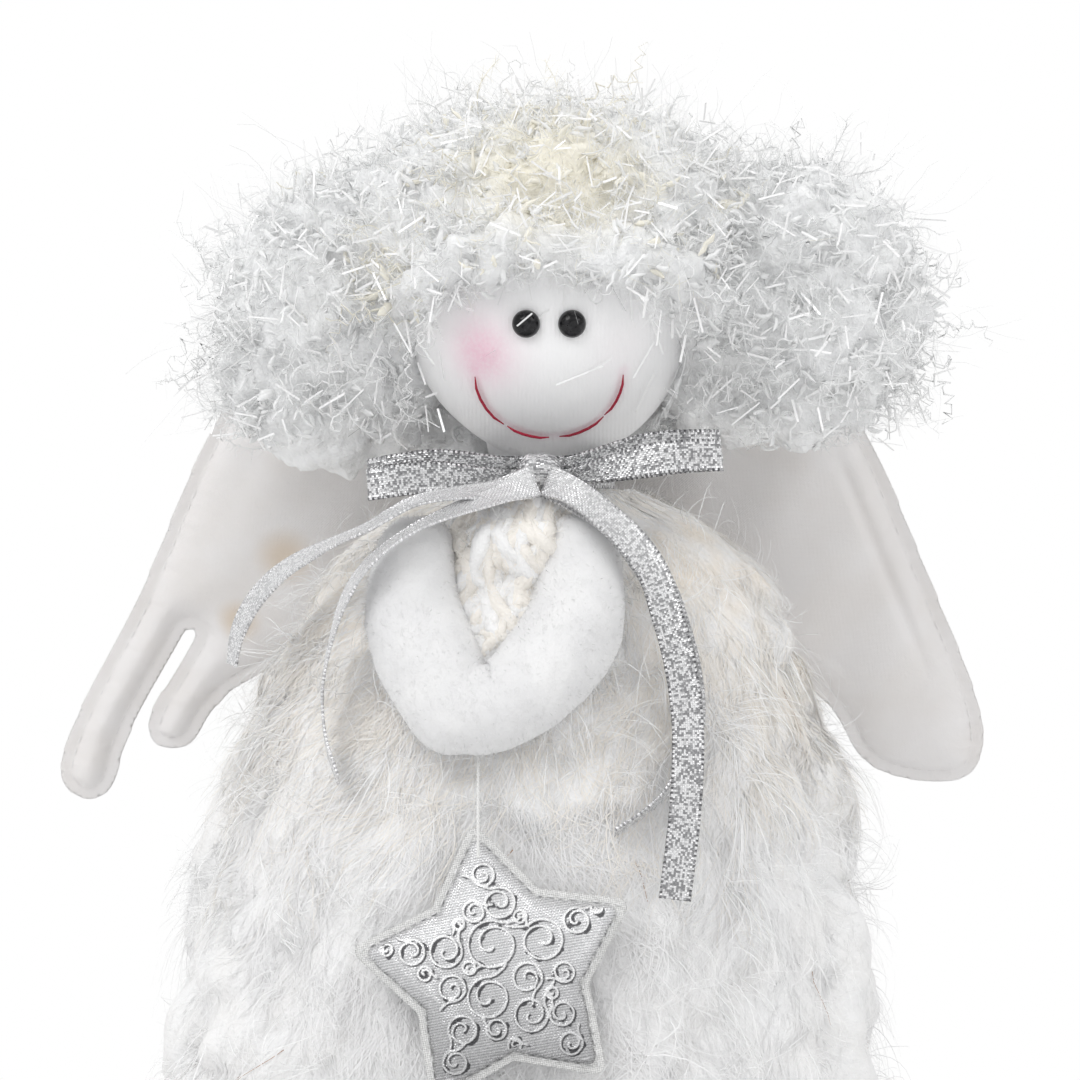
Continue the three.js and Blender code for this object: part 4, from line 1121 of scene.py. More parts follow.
class ANGEL_OT_head(AngelOperator, bpy.types.Operator):
    """The stuffed jersey head with powdered cheek, bead eyes and stitched smile"""

    bl_idname = "angel.head"
    bl_label = "Head"

    def execute(self, context):
        settings = context.scene.angel_face
        self.skin(settings)
        self.eyes(settings)
        self.smile(settings)
        return {"FINISHED"}

    def skin(self, settings):
        mesh = ball("head_jersey", 180, 120)
        sphere = points_of(mesh)
        points = HEAD_MIDDLE + sphere * HEAD_HALF
        lumps = wander(points, 18 * MM, 4)[:, 0] * 0.35 * MM + wander(points, 7 * MM, 5)[:, 0] * 0.1 * MM
        points += unit(sphere / HEAD_HALF) * (lumps - 0.2 * MM)[:, None]
        for side in (-1, 1):
            spot, normal = on_face(side * settings.eye_spacing / 2, -settings.eye_level)
            points -= bell(np.linalg.norm(points - spot, axis=1), 3.4 * MM)[:, None] * normal * 0.7 * MM
        line, _ = on_face(*smile_place(np.linspace(0, np.pi, 90), settings))
        to_smile = np.linalg.norm(points[:, None] - line[None], axis=2).min(1)
        points -= unit(sphere) * (bell(to_smile, 1.1 * MM) * 0.3 * MM)[:, None]
        room = 10.9 * MM
        away = points - TILT
        socket = np.linalg.norm(away, axis=1, keepdims=True)
        points = np.where(socket < room, TILT + away / socket * room, points)
        move_points(mesh, points)
        powder = bell(to_smile, 1.3 * MM) * 0.2
        for across, up, wide, strength in ((-13.6, -9.8, 6.6, 0.66), (14.5, -9, 6, 0.05)):
            cheek, _ = on_face(across * MM, up * MM)
            powder += bell(np.linalg.norm(points - cheek, axis=1), wide * MM) * strength
        set_value(mesh, "powder", np.clip(powder, 0, 1))
        place(mesh, self.jersey(settings), "head", "jersey", "head_skin")

    def jersey(self, settings):
        material, tree, shader = new_material("white jersey", roughness=0.85, sheen_weight=0.25)
        spot = object_place(tree)
        cloth = add_nap(tree, spot, 1400.0, 70.0)
        columns = add_node(tree, "TexWave", {"Vector": spot, "Scale": 380.0, "Distortion": 1.5, "Detail": 1.0})
        dull = add_range(tree, cloth["Tone"], 0.3, 0.7, 0.0, 0.2)
        pale = add_mix(tree, dull, rgb(settings.skin), (0.86, 0.86, 0.87, 1))
        grain = add_range(tree, cloth["Height"], 0.2, 0.7, 0.75, 1.0)
        dust = add_math(tree, "MULTIPLY", value_of(tree, "powder"), grain)
        link(tree, add_mix(tree, dust, pale, rgb(settings.blush)), shader["Base Color"])
        knit = add_math(tree, "ADD", cloth["Height"], add_math(tree, "MULTIPLY", columns["Fac"], 0.5))
        link(tree, bump(tree, knit, 0.08 * MM), shader["Normal"])
        return material

    def eyes(self, settings):
        material, tree, shader = new_material("black glass bead", roughness=0.12, specular_ior_level=0.35)
        speck = add_noise(tree, object_place(tree), 900.0, 2.0)
        black, dusty = (0.004, 0.004, 0.005, 1), (0.02, 0.02, 0.022, 1)
        link(tree, add_mix(tree, add_range(tree, speck, 0.4, 0.7), black, dusty), shader["Base Color"])
        link(tree, add_range(tree, speck, 0.35, 0.7, 0.06, 0.2), shader["Roughness"])
        for side, word in ((-1, "left"), (1, "right")):
            spot, normal = on_face(side * settings.eye_spacing / 2, -settings.eye_level, 0.5 * MM)
            turn = np.array(Vector((0, 0, 1)).rotation_difference(Vector(normal)).to_matrix())
            mesh = ball(word + "_bead", 40, 24)
            x, y, z = points_of(mesh).T * settings.eye_radius
            dent = 0.35 * MM * np.exp(-(x * x + y * y) / (0.55 * MM) ** 2)
            bead = np.stack([x, y, z * 0.86 - np.copysign(dent, z)], 1)
            move_points(mesh, bead @ turn.T + spot)
            place(mesh, material, "head", "bead", word + "_eye")

    def smile(self, settings):
        red = settings.thread
        material = fibre_material("red sewing thread", red, (0.4, 0.01, 0.04), 0.45, deep=red, roughness=0.6)
        rng = np.random.default_rng(3)
        lines = []
        for low, high in ((0.02, 0.29), (0.31, 0.5), (0.545, 0.76), (0.77, 0.985)):
            across, up = smile_place(np.linspace(low, high, 15) * np.pi, settings)
            sunk = 0.16 * MM - 0.25 * MM * np.abs(np.linspace(-1, 1, 15)) ** 12
            line, _ = on_face(across + rng.normal(0, 0.08 * MM), up + rng.normal(0, 0.08 * MM), sunk)
            lines.append(line)
        place(stitches("smile_stitches", lines, 0.3 * MM, 7), material, "head", "red_thread", "smile_thread")


def grow(roots, heading, lengths, count, bend):
    """Fibre lines from their roots: bend gives how each turns on its way, from the places reached."""
    line = [roots]
    way = unit(heading)
    step = (lengths / (count - 1))[:, None]
    for _ in range(1, count):
        line.append(line[-1] + way * step)
        way = unit(way + bend(line[-1]))
    return np.stack(line, 1)


# Lumps of hair in millimetres: middles and half sizes at the nape, and places and half widths on the brow
NAPE = [((-11, 15, 219), (14, 8, 13)), ((25, 15, 219), (14, 8, 13)), ((7, 20, 219), (18, 7, 13))]
BROW_LOCKS = [(-16, 12, 5), (-8.5, 10.5, 5), (-1, 8, 5), (6.5, 9.5, 4.5), (13.5, 10.5, 5), (19, 8, 4)]
# Loose tinsel on the face: places from the head's middle in millimetres, turn and length
FACE_FLECKS = [
    (-9, 2.5, 70, 6), (-4, 4, 100, 7), (3, 3.5, 85, 8), (8.5, 4.5, 60, 6), (13, 2, 120, 8), (-1.5, -2.5, 40, 4),
    (5.2, -3.2, 150, 5), (-12, -10, 30, 3.5), (6, -14, 22, 10), (10, -12, 30, 5), (19, -17, 65, 9),
    (16, 0, 95, 7), (21, -6, 110, 8), (-18, 2, 130, 6), (1, 6, 75, 7), (18.5, -11, 60, 8), (-21, -12, 100, 6),
    (11, 5, 45, 7),
]
EYE_FLECKS = [(-4.4, -3.0, 40, 3.6), (4.9, -2.6, 105, 2.6)]
# Top of the hair's room, and the level under which only the front hangs
HAIR_TOP, HAIR_BOTTOM = 297 * MM, 211 * MM


class ANGEL_OT_hair(AngelOperator, bpy.types.Operator):
    """Curly yarn hair: a lumpy cap, crinkled yarns, fluffy knots, shiny tinsel and fine wisps"""

    bl_idname = "angel.hair"
    bl_label = "Hair"

    def execute(self, context):
        settings = context.scene.angel_hair
        cap = self.cap(settings)
        for layer in (self.fuzz, self.curls, self.tufts, self.twigs, self.tinsel, self.wisps):
            layer(settings, cap)
        return {"FINISHED"}

    def cap(self, settings):
        """The matted yarn that the rest grows from."""
        nodes = ["hair_crown", "hair_fringe", "hair_bunch_left", "hair_bunch_right"]
        lumps = [[tuple(np.array(size) * MM) for size in lump] for lump in NAPE]
        for across, up, wide in BROW_LOCKS:
            spot, _ = on_face(across * MM, up * MM, 1.2 * MM)
            lumps.append((tuple(spot), (wide * MM, 3.2 * MM, 4.2 * MM)))
        mesh = applied(soft_copy("hair_cap", nodes, 2.2 * MM, 6, lumps), SUBDIVIDED)
        points, normals = points_of(mesh), normals_of(mesh)
        outer = np.linalg.norm((points - HEAD_MIDDLE) / HEAD_HALF, axis=1)
        inset = 0.7 * MM * smoothstep(1.05, 1.25, outer)
        rough = wander(points, 11 * MM, 21)[:, 0] * 1.7 + wander(points, 5 * MM, 22)[:, 0] * 1.0
        rough += np.abs(wander(points, 2.6 * MM, 23)[:, 0]) * 0.9
        closer = unit(HEAD_MIDDLE - points) * (1.8 * MM * smoothstep(1.13, 1.04, outer))[:, None]
        out = rough * MM * smoothstep(1.02, 1.2, outer) - inset
        move_points(mesh, points + closer + normals * out[:, None])

        def creamy(tree, tone, cloth):
            brow = tuple(np.array([8, -32, 268]) * MM)
            near = add_range(tree, away_from(tree, brow), 26 * MM, 8 * MM)
            return add_mix(tree, near, tone, rgb(settings.cream))

        white, grey = settings.white, settings.grey
        material = nap_material("matted yarn", white, grey, 700.0, 150.0, 0.9 * MM, creamy, roughness=0.95)
        place(mesh, material, "head", "hair_yarn", *nodes)
        return mesh

    def roots(self, cap, count, rng):
        """Places on the outside of the cap, with the way they face, clear of the face."""
        points, normals = scatter(cap, int(count * 1.7), rng)
        outer = np.linalg.norm((points - HEAD_MIDDLE) / HEAD_HALF, axis=1)
        away = np.sum(unit(points - HEAD_MIDDLE) * normals, axis=1)
        good = np.flatnonzero((outer > 1.03) & (away > -0.25))[:count]
        return points[good], normals[good]

    def strand(self, places, rng):
        """A random number for each yarn, with the cream ones over the brow and at the left temple."""
        patches = (((8, -30, 266), (24, 26, 15)), ((-26, -20, 247), (8, 14, 8)))
        far = [
            np.linalg.norm((places - np.array(middle) * MM) / (np.array(half) * MM), axis=1)
            for middle, half in patches
        ]
        return accented(rng.random(len(places)) < 0.85 * np.exp(-(np.minimum(*far) ** 2)), rng)

    def clear(self, lines, *others):
        """The lines that keep off the middle of the face and in the hair's room, with what goes with them."""
        x, y, z = np.moveaxis(lines, -1, 0)
        across, up = (x - HEAD_MIDDLE[0]) / (22.5 * MM), (z - 226.5 * MM) / (14.5 * MM)
        over_face = np.any((across * across + up * up < 1) & (y < -15 * MM), axis=1)
        low = np.any((z < HAIR_BOTTOM) & (y > -30 * MM), axis=1)
        keep = ~over_face & ~low & ~(z.max(1) > HAIR_TOP)
        return [values[keep] for values in (lines, *others)]

    def lay(self, mesh, settings, finish, spread, roughness):
        """A layer of yarn, with its material's name, spread of tones and roughness."""
        material = fibre_material(finish, settings.white, settings.cream, spread, roughness=roughness)
        place(mesh, material, "head", "hair_yarn")

    def fuzz(self, settings, cap):
        """Fine fibres that lie over the matted yarn."""
        rng = np.random.default_rng(35)
        roots, normals = self.roots(cap, settings.fuzz, rng)
        n, k = len(roots), 5
        heading = wander(roots, 7 * MM, 36) * 1.2 + rng.normal(0, 0.6, (n, 3)) + normals * 0.25
        lengths = rng.uniform(3, 9, n) * MM
        lines = grow(roots, heading, lengths, k, lambda p: rng.normal(0, 0.22, (n, 3)) - normals * 0.1)
        lines, roots, normals = self.clear(lines, roots, normals)
        widths = (rng.uniform(0.06, 0.13, len(lines)) * MM)[:, None] * np.linspace(1, 0.4, k)
        facing = off_normal(normals, 0.3, rng)
        mesh = strips("hair_fuzz", lines, facing, widths, self.strand(roots, rng), normals)
        self.lay(mesh, settings, "fine yarn fuzz", 0.06, 0.8)

    def twigs(self, settings, cap):
        """Yarn ends with short fibres along them, which stand out of the hair."""
        rng = np.random.default_rng(45)
        roots, normals = self.roots(cap, settings.twigs, rng)
        n, k, m = len(roots), 9, 26
        heading = normals + rng.normal(0, 0.45, (n, 3)) + DOWN * 0.15
        axis = grow(roots, heading, rng.uniform(7, 16, n) * MM, k, lambda p: wander(p, 6 * MM, 46) * 0.4)
        axis, roots, normals = self.clear(axis, roots, normals)
        n = len(axis)
        at = rng.integers(2, k - 1, (n, m))
        step = rng.random((n, m, 1))
        pick = np.arange(n)[:, None]
        start = axis[pick, at] * (1 - step) + axis[pick, at + 1] * step
        along = unit(axis[pick, at + 1] - axis[pick, at])
        way = along * 0.7 + unit(rng.normal(0, 1, (n, m, 3)))
        lengths = rng.uniform(1.6, 4.2, n * m) * MM
        feathers = grow(start.reshape(-1, 3), way.reshape(-1, 3), lengths, 3, lambda p: 0)
        strand = self.strand(roots, rng)
        material = fibre_material("feathered yarn", settings.white, settings.cream, 0.06, roughness=0.8)
        twigs = tubes("hair_twigs", axis, np.linspace(0.2, 0.08, k) * MM, 3, strand)
        place(twigs, material, "head", "hair_yarn")
        facing = off_normal(np.repeat(normals, m, axis=0), 0.9, rng)
        widths = np.array([0.13, 0.1, 0.05]) * MM
        mesh = strips("hair_feathers", feathers, facing, widths, np.repeat(strand, m))
        place(mesh, material, "head", "hair_yarn")

    def curls(self, settings, cap):
        """Crinkled yarns in two halves."""
        rng = np.random.default_rng(31)
        roots, normals = self.roots(cap, settings.curls, rng)
        n, k = len(roots), 20
        heading = normals * 0.55 + DOWN * 0.3 + wander(roots, 12 * MM, 32) * 0.6 + rng.normal(0, 0.35, (n, 3))
        lengths = rng.uniform(10, 22, n) * MM
        x, y, z = roots.T
        lengths[(y < -28 * MM) & (z < 258 * MM) & (np.abs(x - HEAD_MIDDLE[0]) < 24 * MM)] *= 0.6
        axis = grow(roots, heading, lengths, k, lambda p: DOWN * 0.05 + wander(p, 5 * MM, 33) * 0.28)
        along = unit(np.gradient(axis, axis=1))
        across = unit(np.cross(along, rng.normal(size=(n, 1, 3))))
        up = np.cross(along, across)
        share = np.linspace(0, 1, k)
        pitch = rng.uniform(2.6, 5.2, n) * MM
        turn = share * (lengths / pitch * 2 * np.pi)[:, None] + rng.uniform(0, 6.28, (n, 1))
        wide = (rng.uniform(0.45, 1.5, n) * MM)[:, None] * smoothstep(0, 0.2, share)
        lines = axis + across * (wide * np.cos(turn))[..., None] + up * (wide * np.sin(turn))[..., None]
        lines, roots = self.clear(lines, roots)
        thick = (rng.uniform(0.12, 0.24, len(lines)) * MM)[:, None] * (1 - 0.75 * share**3)
        strand = self.strand(roots, rng)
        material = fibre_material("crinkled yarn", settings.white, settings.cream, 0.06, roughness=0.7)
        left = roots[:, 0] < HEAD_MIDDLE[0]
        for word, side in (("left", left), ("right", ~left)):
            mesh = tubes("hair_curls_" + word, lines[side], thick[side], 3, strand[side])
            place(mesh, material, "head", "hair_yarn")

    def tufts(self, settings, cap):
        """Fluffy knots in the yarn."""
        rng = np.random.default_rng(41)
        roots, normals = self.roots(cap, settings.tufts, rng)
        n, k = len(roots), 5
        out = (rng.uniform(-0.2, 1.8, n) * MM)[:, None]
        heading = wander(roots, 8 * MM, 42) + rng.normal(0, 0.7, (n, 3)) + normals * 0.3
        lengths = rng.uniform(2.5, 6.0, n) * MM
        lines = grow(roots + normals * out, heading, lengths, k, lambda p: rng.normal(0, 0.45, (n, 3)))
        lines, roots = self.clear(lines, roots)
        n = len(lines)
        thick = (rng.uniform(0.25, 0.65, n) * MM)[:, None] * np.array([0.3, 0.95, 1.0, 0.8, 0.2])
        thick = thick * rng.uniform(0.75, 1.25, (n, k)) * np.where(rng.random((n, 1)) < 0.014, 2.5, 1)
        mesh = tubes("hair_tufts", lines, thick, 5, self.strand(roots, rng))
        self.lay(mesh, settings, "fluffy yarn knots", 0.04, 0.9)

    def tinsel(self, settings, cap):
        """Flat shiny flecks in the hair and on the face."""
        rng = np.random.default_rng(51)
        roots, normals = self.roots(cap, settings.tinsel, rng)
        n = len(roots)
        out = (rng.uniform(1.0, 6.5, n) * MM)[:, None]
        heading = rng.normal(0, 1, (n, 3)) + normals * 0.35
        lines = grow(roots + normals * out, heading, rng.uniform(2.5, 7.5, n) * MM, 3, lambda p: 0)
        lines = np.concatenate([*self.clear(lines), self.face_flecks()])
        n = len(lines)
        widths = (rng.uniform(0.25, 0.5, n) * MM)[:, None]
        facing = off_normal(np.tile([0, -1.0, 0.2], (n, 1)), 0.8, rng)
        glitter = {"roughness": 0.2, "specular_ior_level": 1.0, "coat_weight": 0.8}
        material = fibre_material("flat tinsel", WHITE[:3], WHITE[:3], 0.04, deep=(1, 1, 0.97), **glitter)
        mesh = strips("hair_tinsel", lines, facing, widths, rng.random(n) * 0.95)
        place(mesh, material, "head", "hair_yarn")

    def face_flecks(self):
        lines = []
        for out, spots in ((0.55, FACE_FLECKS), (3.1, EYE_FLECKS)):
            for across, up, turn, length in spots:
                reach = np.linspace(-0.5, 0.5, 3) * length
                a = across + reach * math.cos(math.radians(turn))
                u = up + reach * math.sin(math.radians(turn))
                lines.append(on_face(a * MM, u * MM, out * MM)[0])
        return np.array(lines)

    def wisps(self, settings, cap):
        """Long fine fibres that stand off the hair."""
        rng = np.random.default_rng(61)
        roots, normals = self.roots(cap, settings.wisps, rng)
        n, k = len(roots), 7
        heading = normals + rng.normal(0, 0.5, (n, 3)) + wander(roots, 15 * MM, 62) * 0.4
        lengths = np.minimum(rng.gamma(6, 2.3, n) * MM, 24 * MM)
        lines = grow(roots, heading, lengths, k, lambda p: wander(p, 6 * MM, 63) * 0.35)
        lines, normals = self.clear(lines, normals)
        facing = off_normal(normals, 0.8, rng)
        widths = np.linspace(0.14, 0.06, k) * MM
        mesh = strips("hair_wisps", lines, facing, widths, rng.random(len(lines)) * PLAIN)
        self.lay(mesh, settings, "fine wisps", 0.15, 0.7)


STAR_KNOT = np.array([-7.2, -51.575, 130.6]) * MM
STAR_AXES = (
    STAR_KNOT,
    np.array([0.9848, 0.0119, 0.1732]),
    np.array([-0.1736, 0.0677, 0.9825]),
    np.array([0, -0.9976, 0.0688]),
)
# The star's middle in its own plane, under the hole that the thread goes through
STAR_MIDDLE = np.array([0, 7 * MM - 30 * MM])


def star_outline(radius):
    """A five-pointed star with rounded tips, about the knot of its thread."""
    fifth = math.pi / 5
    corner = lambda k, r: STAR_MIDDLE + r * np.array([-math.sin(k * fifth), math.cos(k * fifth)])
    line = []
    for k in range(0, 10, 2):
        tip = corner(k, radius)
        before, after = corner(k - 1, radius * 0.6), corner(k + 1, radius * 0.6)
        start, end = tip + 0.18 * (before - tip), tip + 0.18 * (after - tip)
        t = np.linspace(0, 1, 7)[:, None]
        line.extend((1 - t) ** 2 * start + 2 * t * (1 - t) * tip + t**2 * end)
        line.append(after)
    return np.array(line)


# The dress's relief over turns and heights, and the CAD solid's clumps in it: the number in a row, the rows' step
# and first level, half sizes, rise and droop, and how far each row leaves out the front and the back
FIELD_ROWS, FIELD_COLUMNS = 420, 900
FIELD_HEIGHTS = np.linspace(0, DRESS_TOP, FIELD_ROWS)
FIELD_TURNS = np.arange(FIELD_COLUMNS) * 2 * np.pi / FIELD_COLUMNS
CLUMPS = 18
CLUMP_STEP, CLUMP_FIRST = 21 * MM, 16 * MM
CLUMP_HALF = (10 * MM, 13.5 * MM)
CLUMP_RISE, CLUMP_DROOP = 4.3 * MM, 3 * MM
BARE_FRONT = (0, 0, 0, 0.95, 0.95, 1.1, 1.25)
BARE_BACK = (0, 0, 0, 0, 0, 0, 0.9)
# Mean radius of the oval dress as a share of its half width, and how far the ground of the pile lies inside it
MEAN_RADIUS = 0.89
GROUND_DEPTH = 1.8 * MM


class ANGEL_OT_dress(AngelOperator, bpy.types.Operator):
    """The knitted dress: its tufted ground, the pile, stray fibres and the cream yarn of its upper part"""

    bl_idname = "angel.dress"
    bl_label = "Dress"

    def execute(self, context):
        settings = context.scene.angel_dress
        # The pile's roots take the painted shade of the pile's depth.
        soft = {"root": settings.painted_pile_shade, "deep": settings.tan, "roughness": 0.8, "sheen_weight": 0.2}
        fur = fibre_material("white pile", settings.white, settings.cream, 0.03, **soft)
        tufts = self.tufts(settings)
        field = self.field(*tufts)
        knit = self.knit(settings, field)
        pieces = self.yarn(settings, field, fur)
        pieces += self.pile(settings, field, fur, *tufts[:-1])
        pieces.append(self.wisps(settings, field, fur))
        self.collar(knit.data.materials[0], fur)
        return {"FINISHED"}

    def spots(self, count, low, high, rng):
        """Random places over the dress between two heights, as turns and heights."""
        z = rng.uniform(low, high, count * 3)
        z = z[rng.random(len(z)) < dress_radius(z) / dress_radius(low)][:count]
        turn = np.linspace(0, 2 * np.pi, 721)
        reach = np.r_[0, np.cumsum(np.hypot(np.sin(turn[:-1]), BODY_DEPTH * np.cos(turn[:-1])))]
        return np.interp(rng.random(len(z)) * reach[-1], reach, turn), z

    def tufts(self, settings):
        """The tufts: turn, height, way from straight down, length, half width and rise of each."""
        rng = np.random.default_rng(91)
        turn, z = self.spots(settings.tufts, 3 * MM, 204 * MM, rng)
        shoulders = self.spots(settings.tufts // 4, 150 * MM, 203 * MM, rng)
        collar = self.spots(settings.tufts // 7, 188 * MM, 206 * MM, rng)
        turn, z = np.r_[turn, shoulders[0], collar[0]], np.r_[z, shoulders[1], collar[1]]
        n = len(z)
        drift = wander(on_dress(turn, z), 26 * MM, 92)[:, 0] * 0.45
        way = -np.sin(turn) * np.cos(turn) * 0.7 + drift + rng.normal(0, 0.3, n)
        small = 1 - 0.35 * smoothstep(150 * MM, 195 * MM, z)
        length = settings.pile * rng.uniform(0.7, 1.35, n) * small
        rise = settings.rise * rng.uniform(0.45, 1.1, n) * small
        return turn, z, way, length, length * rng.uniform(0.2, 0.34, n), rise

    def clumps(self):
        """How far the main clumps of the CAD solid stand out, over turns and heights."""
        rng = np.random.default_rng(90)
        field = np.zeros((FIELD_ROWS, FIELD_COLUMNS))
        for row, (front, back) in enumerate(zip(BARE_FRONT, BARE_BACK)):
            z = CLUMP_FIRST + row * CLUMP_STEP
            for i in range(CLUMPS):
                turn = (i + row % 2 / 2) / CLUMPS * 2 * math.pi
                from_front = math.acos(-math.sin(turn))
                if from_front < front or math.pi - from_front < back:
                    continue
                width = dress_radius(z) * math.hypot(math.sin(turn), BODY_DEPTH * math.cos(turn))
                side = ((FIELD_TURNS - turn + math.pi) % (2 * math.pi) - math.pi) * width + rng.normal(0, 3 * MM)
                down = z - CLUMP_DROOP - FIELD_HEIGHTS + rng.normal(0, 4 * MM)
                wide, tall = CLUMP_HALF[0] * rng.uniform(0.75, 1.3), CLUMP_HALF[1] * rng.uniform(0.8, 1.4)
                inner = 1 - (side / wide) ** 2 - (down[:, None] / tall) ** 2
                field = np.maximum(field, np.sqrt(np.maximum(inner, 0)) * CLUMP_RISE * rng.uniform(0.35, 1.0))
        return field

    def field(self, turn, z, way, length, half, rise):
        """How far the tufts, the clumps and the swells of the fur stand out, over turns and heights."""
        field = np.zeros((FIELD_ROWS, FIELD_COLUMNS))
        heights = FIELD_HEIGHTS
        for t, h, w, l, b, tall in zip(turn, z, way, length, half, rise):
            radius = dress_radius(h) * MEAN_RADIUS
            rows = np.flatnonzero((heights > h - 1.1 * l) & (heights < h + 0.4 * l))
            span = int(1.1 * l / (2 * np.pi * radius) * FIELD_COLUMNS) + 2
            columns = int(t / (2 * np.pi) * FIELD_COLUMNS) + np.arange(-span, span + 1)
            down = h - heights[rows][:, None]
            side = (columns * 2 * np.pi / FIELD_COLUMNS - t) * radius
            along = (down * math.cos(w) + side * math.sin(w)) / l
            across = (side * math.cos(w) - down * math.sin(w)) / b
            stand = smoothstep(-0.3, 0.6, along) * smoothstep(1.05, 0.7, along) * np.exp(-(across**2)) * tall
            cells = np.ix_(rows, columns % FIELD_COLUMNS)
            field[cells] = np.maximum(field[cells], stand) + 0.25 * np.minimum(field[cells], stand)
        clumps = self.clumps()
        for rounds, layer in ((2, field), (5, clumps)):
            for _ in range(rounds):
                layer[:] = (layer + np.roll(layer, 1, 1) + np.roll(layer, -1, 1)) / 3
                layer[1:-1] = (layer[:-2] + layer[1:-1] + layer[2:]) / 3
        return np.minimum(field, 5.5 * MM) + clumps + self.swells()

    def swells(self):
        """The fluffy chest, sides and shoulders, over turns and heights."""
        turns, heights = FIELD_TURNS, FIELD_HEIGHTS
        wide = 0.17 + 0.17 * smoothstep(170 * MM, 196 * MM, heights)[:, None]
        chest = bell(turns - 1.5 * np.pi + 0.1, wide)
        high = smoothstep(158 * MM, 171 * MM, heights) * smoothstep(206 * MM, 201 * MM, heights)
        swell = np.clip(57 * MM - dress_radius(heights), 8 * MM, 26 * MM) * high
        sides = smoothstep(0.5, 0.95, np.abs(np.cos(turns))) * smoothstep(150 * MM, 115 * MM, heights)[:, None]
        shoulders = bell(turns - 1.8 * np.pi, 0.5) + 0.5 * bell(turns - 1.2 * np.pi, 0.4)
        upper = smoothstep(160 * MM, 182 * MM, heights) * smoothstep(203 * MM, 193 * MM, heights)
        return swell[:, None] * chest + (3.5 * MM * sides + 6 * MM * upper[:, None] * shoulders)

    def ground(self, field, turn, z):
        """How far the dress stands out at turns and heights."""
        row = np.clip(z / DRESS_TOP * (FIELD_ROWS - 1), 0, FIELD_ROWS - 1.001)
        column = turn / (2 * np.pi) * FIELD_COLUMNS
        i, j = np.floor(row).astype(int), np.floor(column).astype(int)
        p, q = row - i, column - j
        cell = lambda a, b: field[i + a, (j + b) % FIELD_COLUMNS]
        low = cell(0, 0) * (1 - q) + cell(0, 1) * q
        return low * (1 - p) + (cell(1, 0) * (1 - q) + cell(1, 1) * q) * p - GROUND_DEPTH

    def knit(self, settings, field):
        """The tufted ground, rolled in at the hem and at the collar."""
        form = bmesh.new()
        bmesh.ops.create_grid(form, x_segments=310, y_segments=170, size=0.5)
        grid = np.array([tuple(vert.co) for vert in form.verts])
        turn = (grid[:, 0] + 0.5) * 2 * np.pi
        share = grid[:, 1] + 0.5
        z = np.clip((share - 0.02) / 0.96, 0, 1) * (DRESS_TOP - 0.6 * MM) + CLEAR
        rolled = smoothstep(0.03, 0.0, share) * 7 * MM + smoothstep(0.975, 1.0, share) * 10 * MM
        points = on_dress(turn, z, self.ground(field, turn, z) - rolled)
        for vert, point in zip(form.verts, self.pressed(points[:, None], 6.8 * MM)[:, 0]):
            vert.co = point
        bmesh.ops.remove_doubles(form, verts=form.verts, dist=0.02 * MM)
        bmesh.ops.recalc_face_normals(form, faces=form.faces)

        def beige(tree, tone, cloth):
            across, _, level = add_node(tree, "SeparateXYZ", {0: object_place(tree)})
            aside = add_range(tree, add_math(tree, "ABSOLUTE", across), 0.016, 0.03)
            patch = add_math(tree, "MULTIPLY", aside, add_range(tree, cloth["Tone"], 0.3, 0.7))
            share = add_math(tree, "MULTIPLY", add_range(tree, level, 0.125, 0.185), patch)
            return add_mix(tree, share, tone, (0.91, 0.85, 0.77, 1))

        # The ground under the pile takes the painted shade of the pile's roots; its darker patches are at random.
        light, dark = settings.painted_pile_shade, (0.91, 0.905, 0.9)
        material = nap_material("tufted ground", light, dark, 900.0, 110.0, 0.5 * MM, beige, roughness=0.95)
        return place(finished(form, "dress_knit"), material, "torso", "fur_yarn", "dress")

    def yarn(self, settings, field, fur):
        """Soft strands of the knitted collar and chest, with their fuzz."""
        rng = np.random.default_rng(81)
        n, k = 210, 16
        turn = -np.pi / 2 - 0.08 + np.clip(rng.normal(0, 0.2, n), -0.34, 0.34)
        z = rng.uniform(180, 207, n) * MM
        share = np.linspace(0, 1, k)
        lengths = rng.uniform(14, 30, n) * MM
        sway = 0.1 * np.sin(share * rng.uniform(3, 9, (n, 1)) + rng.uniform(0, 6, (n, 1)))
        turns = turn[:, None] + (rng.normal(0, 0.08, (n, 1)) + sway) * share
        heights = np.clip(z[:, None] - lengths[:, None] * share, 169 * MM, 202 * MM)
        out = (rng.uniform(-0.8, 1.0, (n, 1)) + 1.2 * np.sin(share * np.pi) * rng.random((n, 1))) * MM
        lines = on_dress(turns, heights, out + self.ground(field, turns, heights))
        lines = self.pressed(lines + wander(lines, 4 * MM, 82) * 0.7 * MM)
        full = 0.3 + 0.7 * np.sin(np.pi * np.clip(share, 0.04, 0.96)) ** 0.5
        thick = (rng.uniform(0.9, 1.9, n) * MM)[:, None] * full
        thick = thick * (1 + 0.2 * np.sin(share * lengths[:, None] / (1.1 * MM) + rng.uniform(0, 6, (n, 1))))
        strand = accented(rng.random(n) < 0.5, rng)
        material = fibre_material("cream yarn", settings.white, settings.cream, 0.03, roughness=0.9)
        tree = material.node_tree
        nap = add_nap(tree, object_place(tree), 1500.0, 300.0)["Height"]
        link(tree, bump(tree, nap, 0.3 * MM), tree.nodes["Principled BSDF"].inputs["Normal"])
        yarn = place(tubes("dress_yarn", lines, thick, 7, strand), material, "torso", "fur_yarn")
        return [yarn, self.yarn_fuzz(lines, thick, strand, fur)]

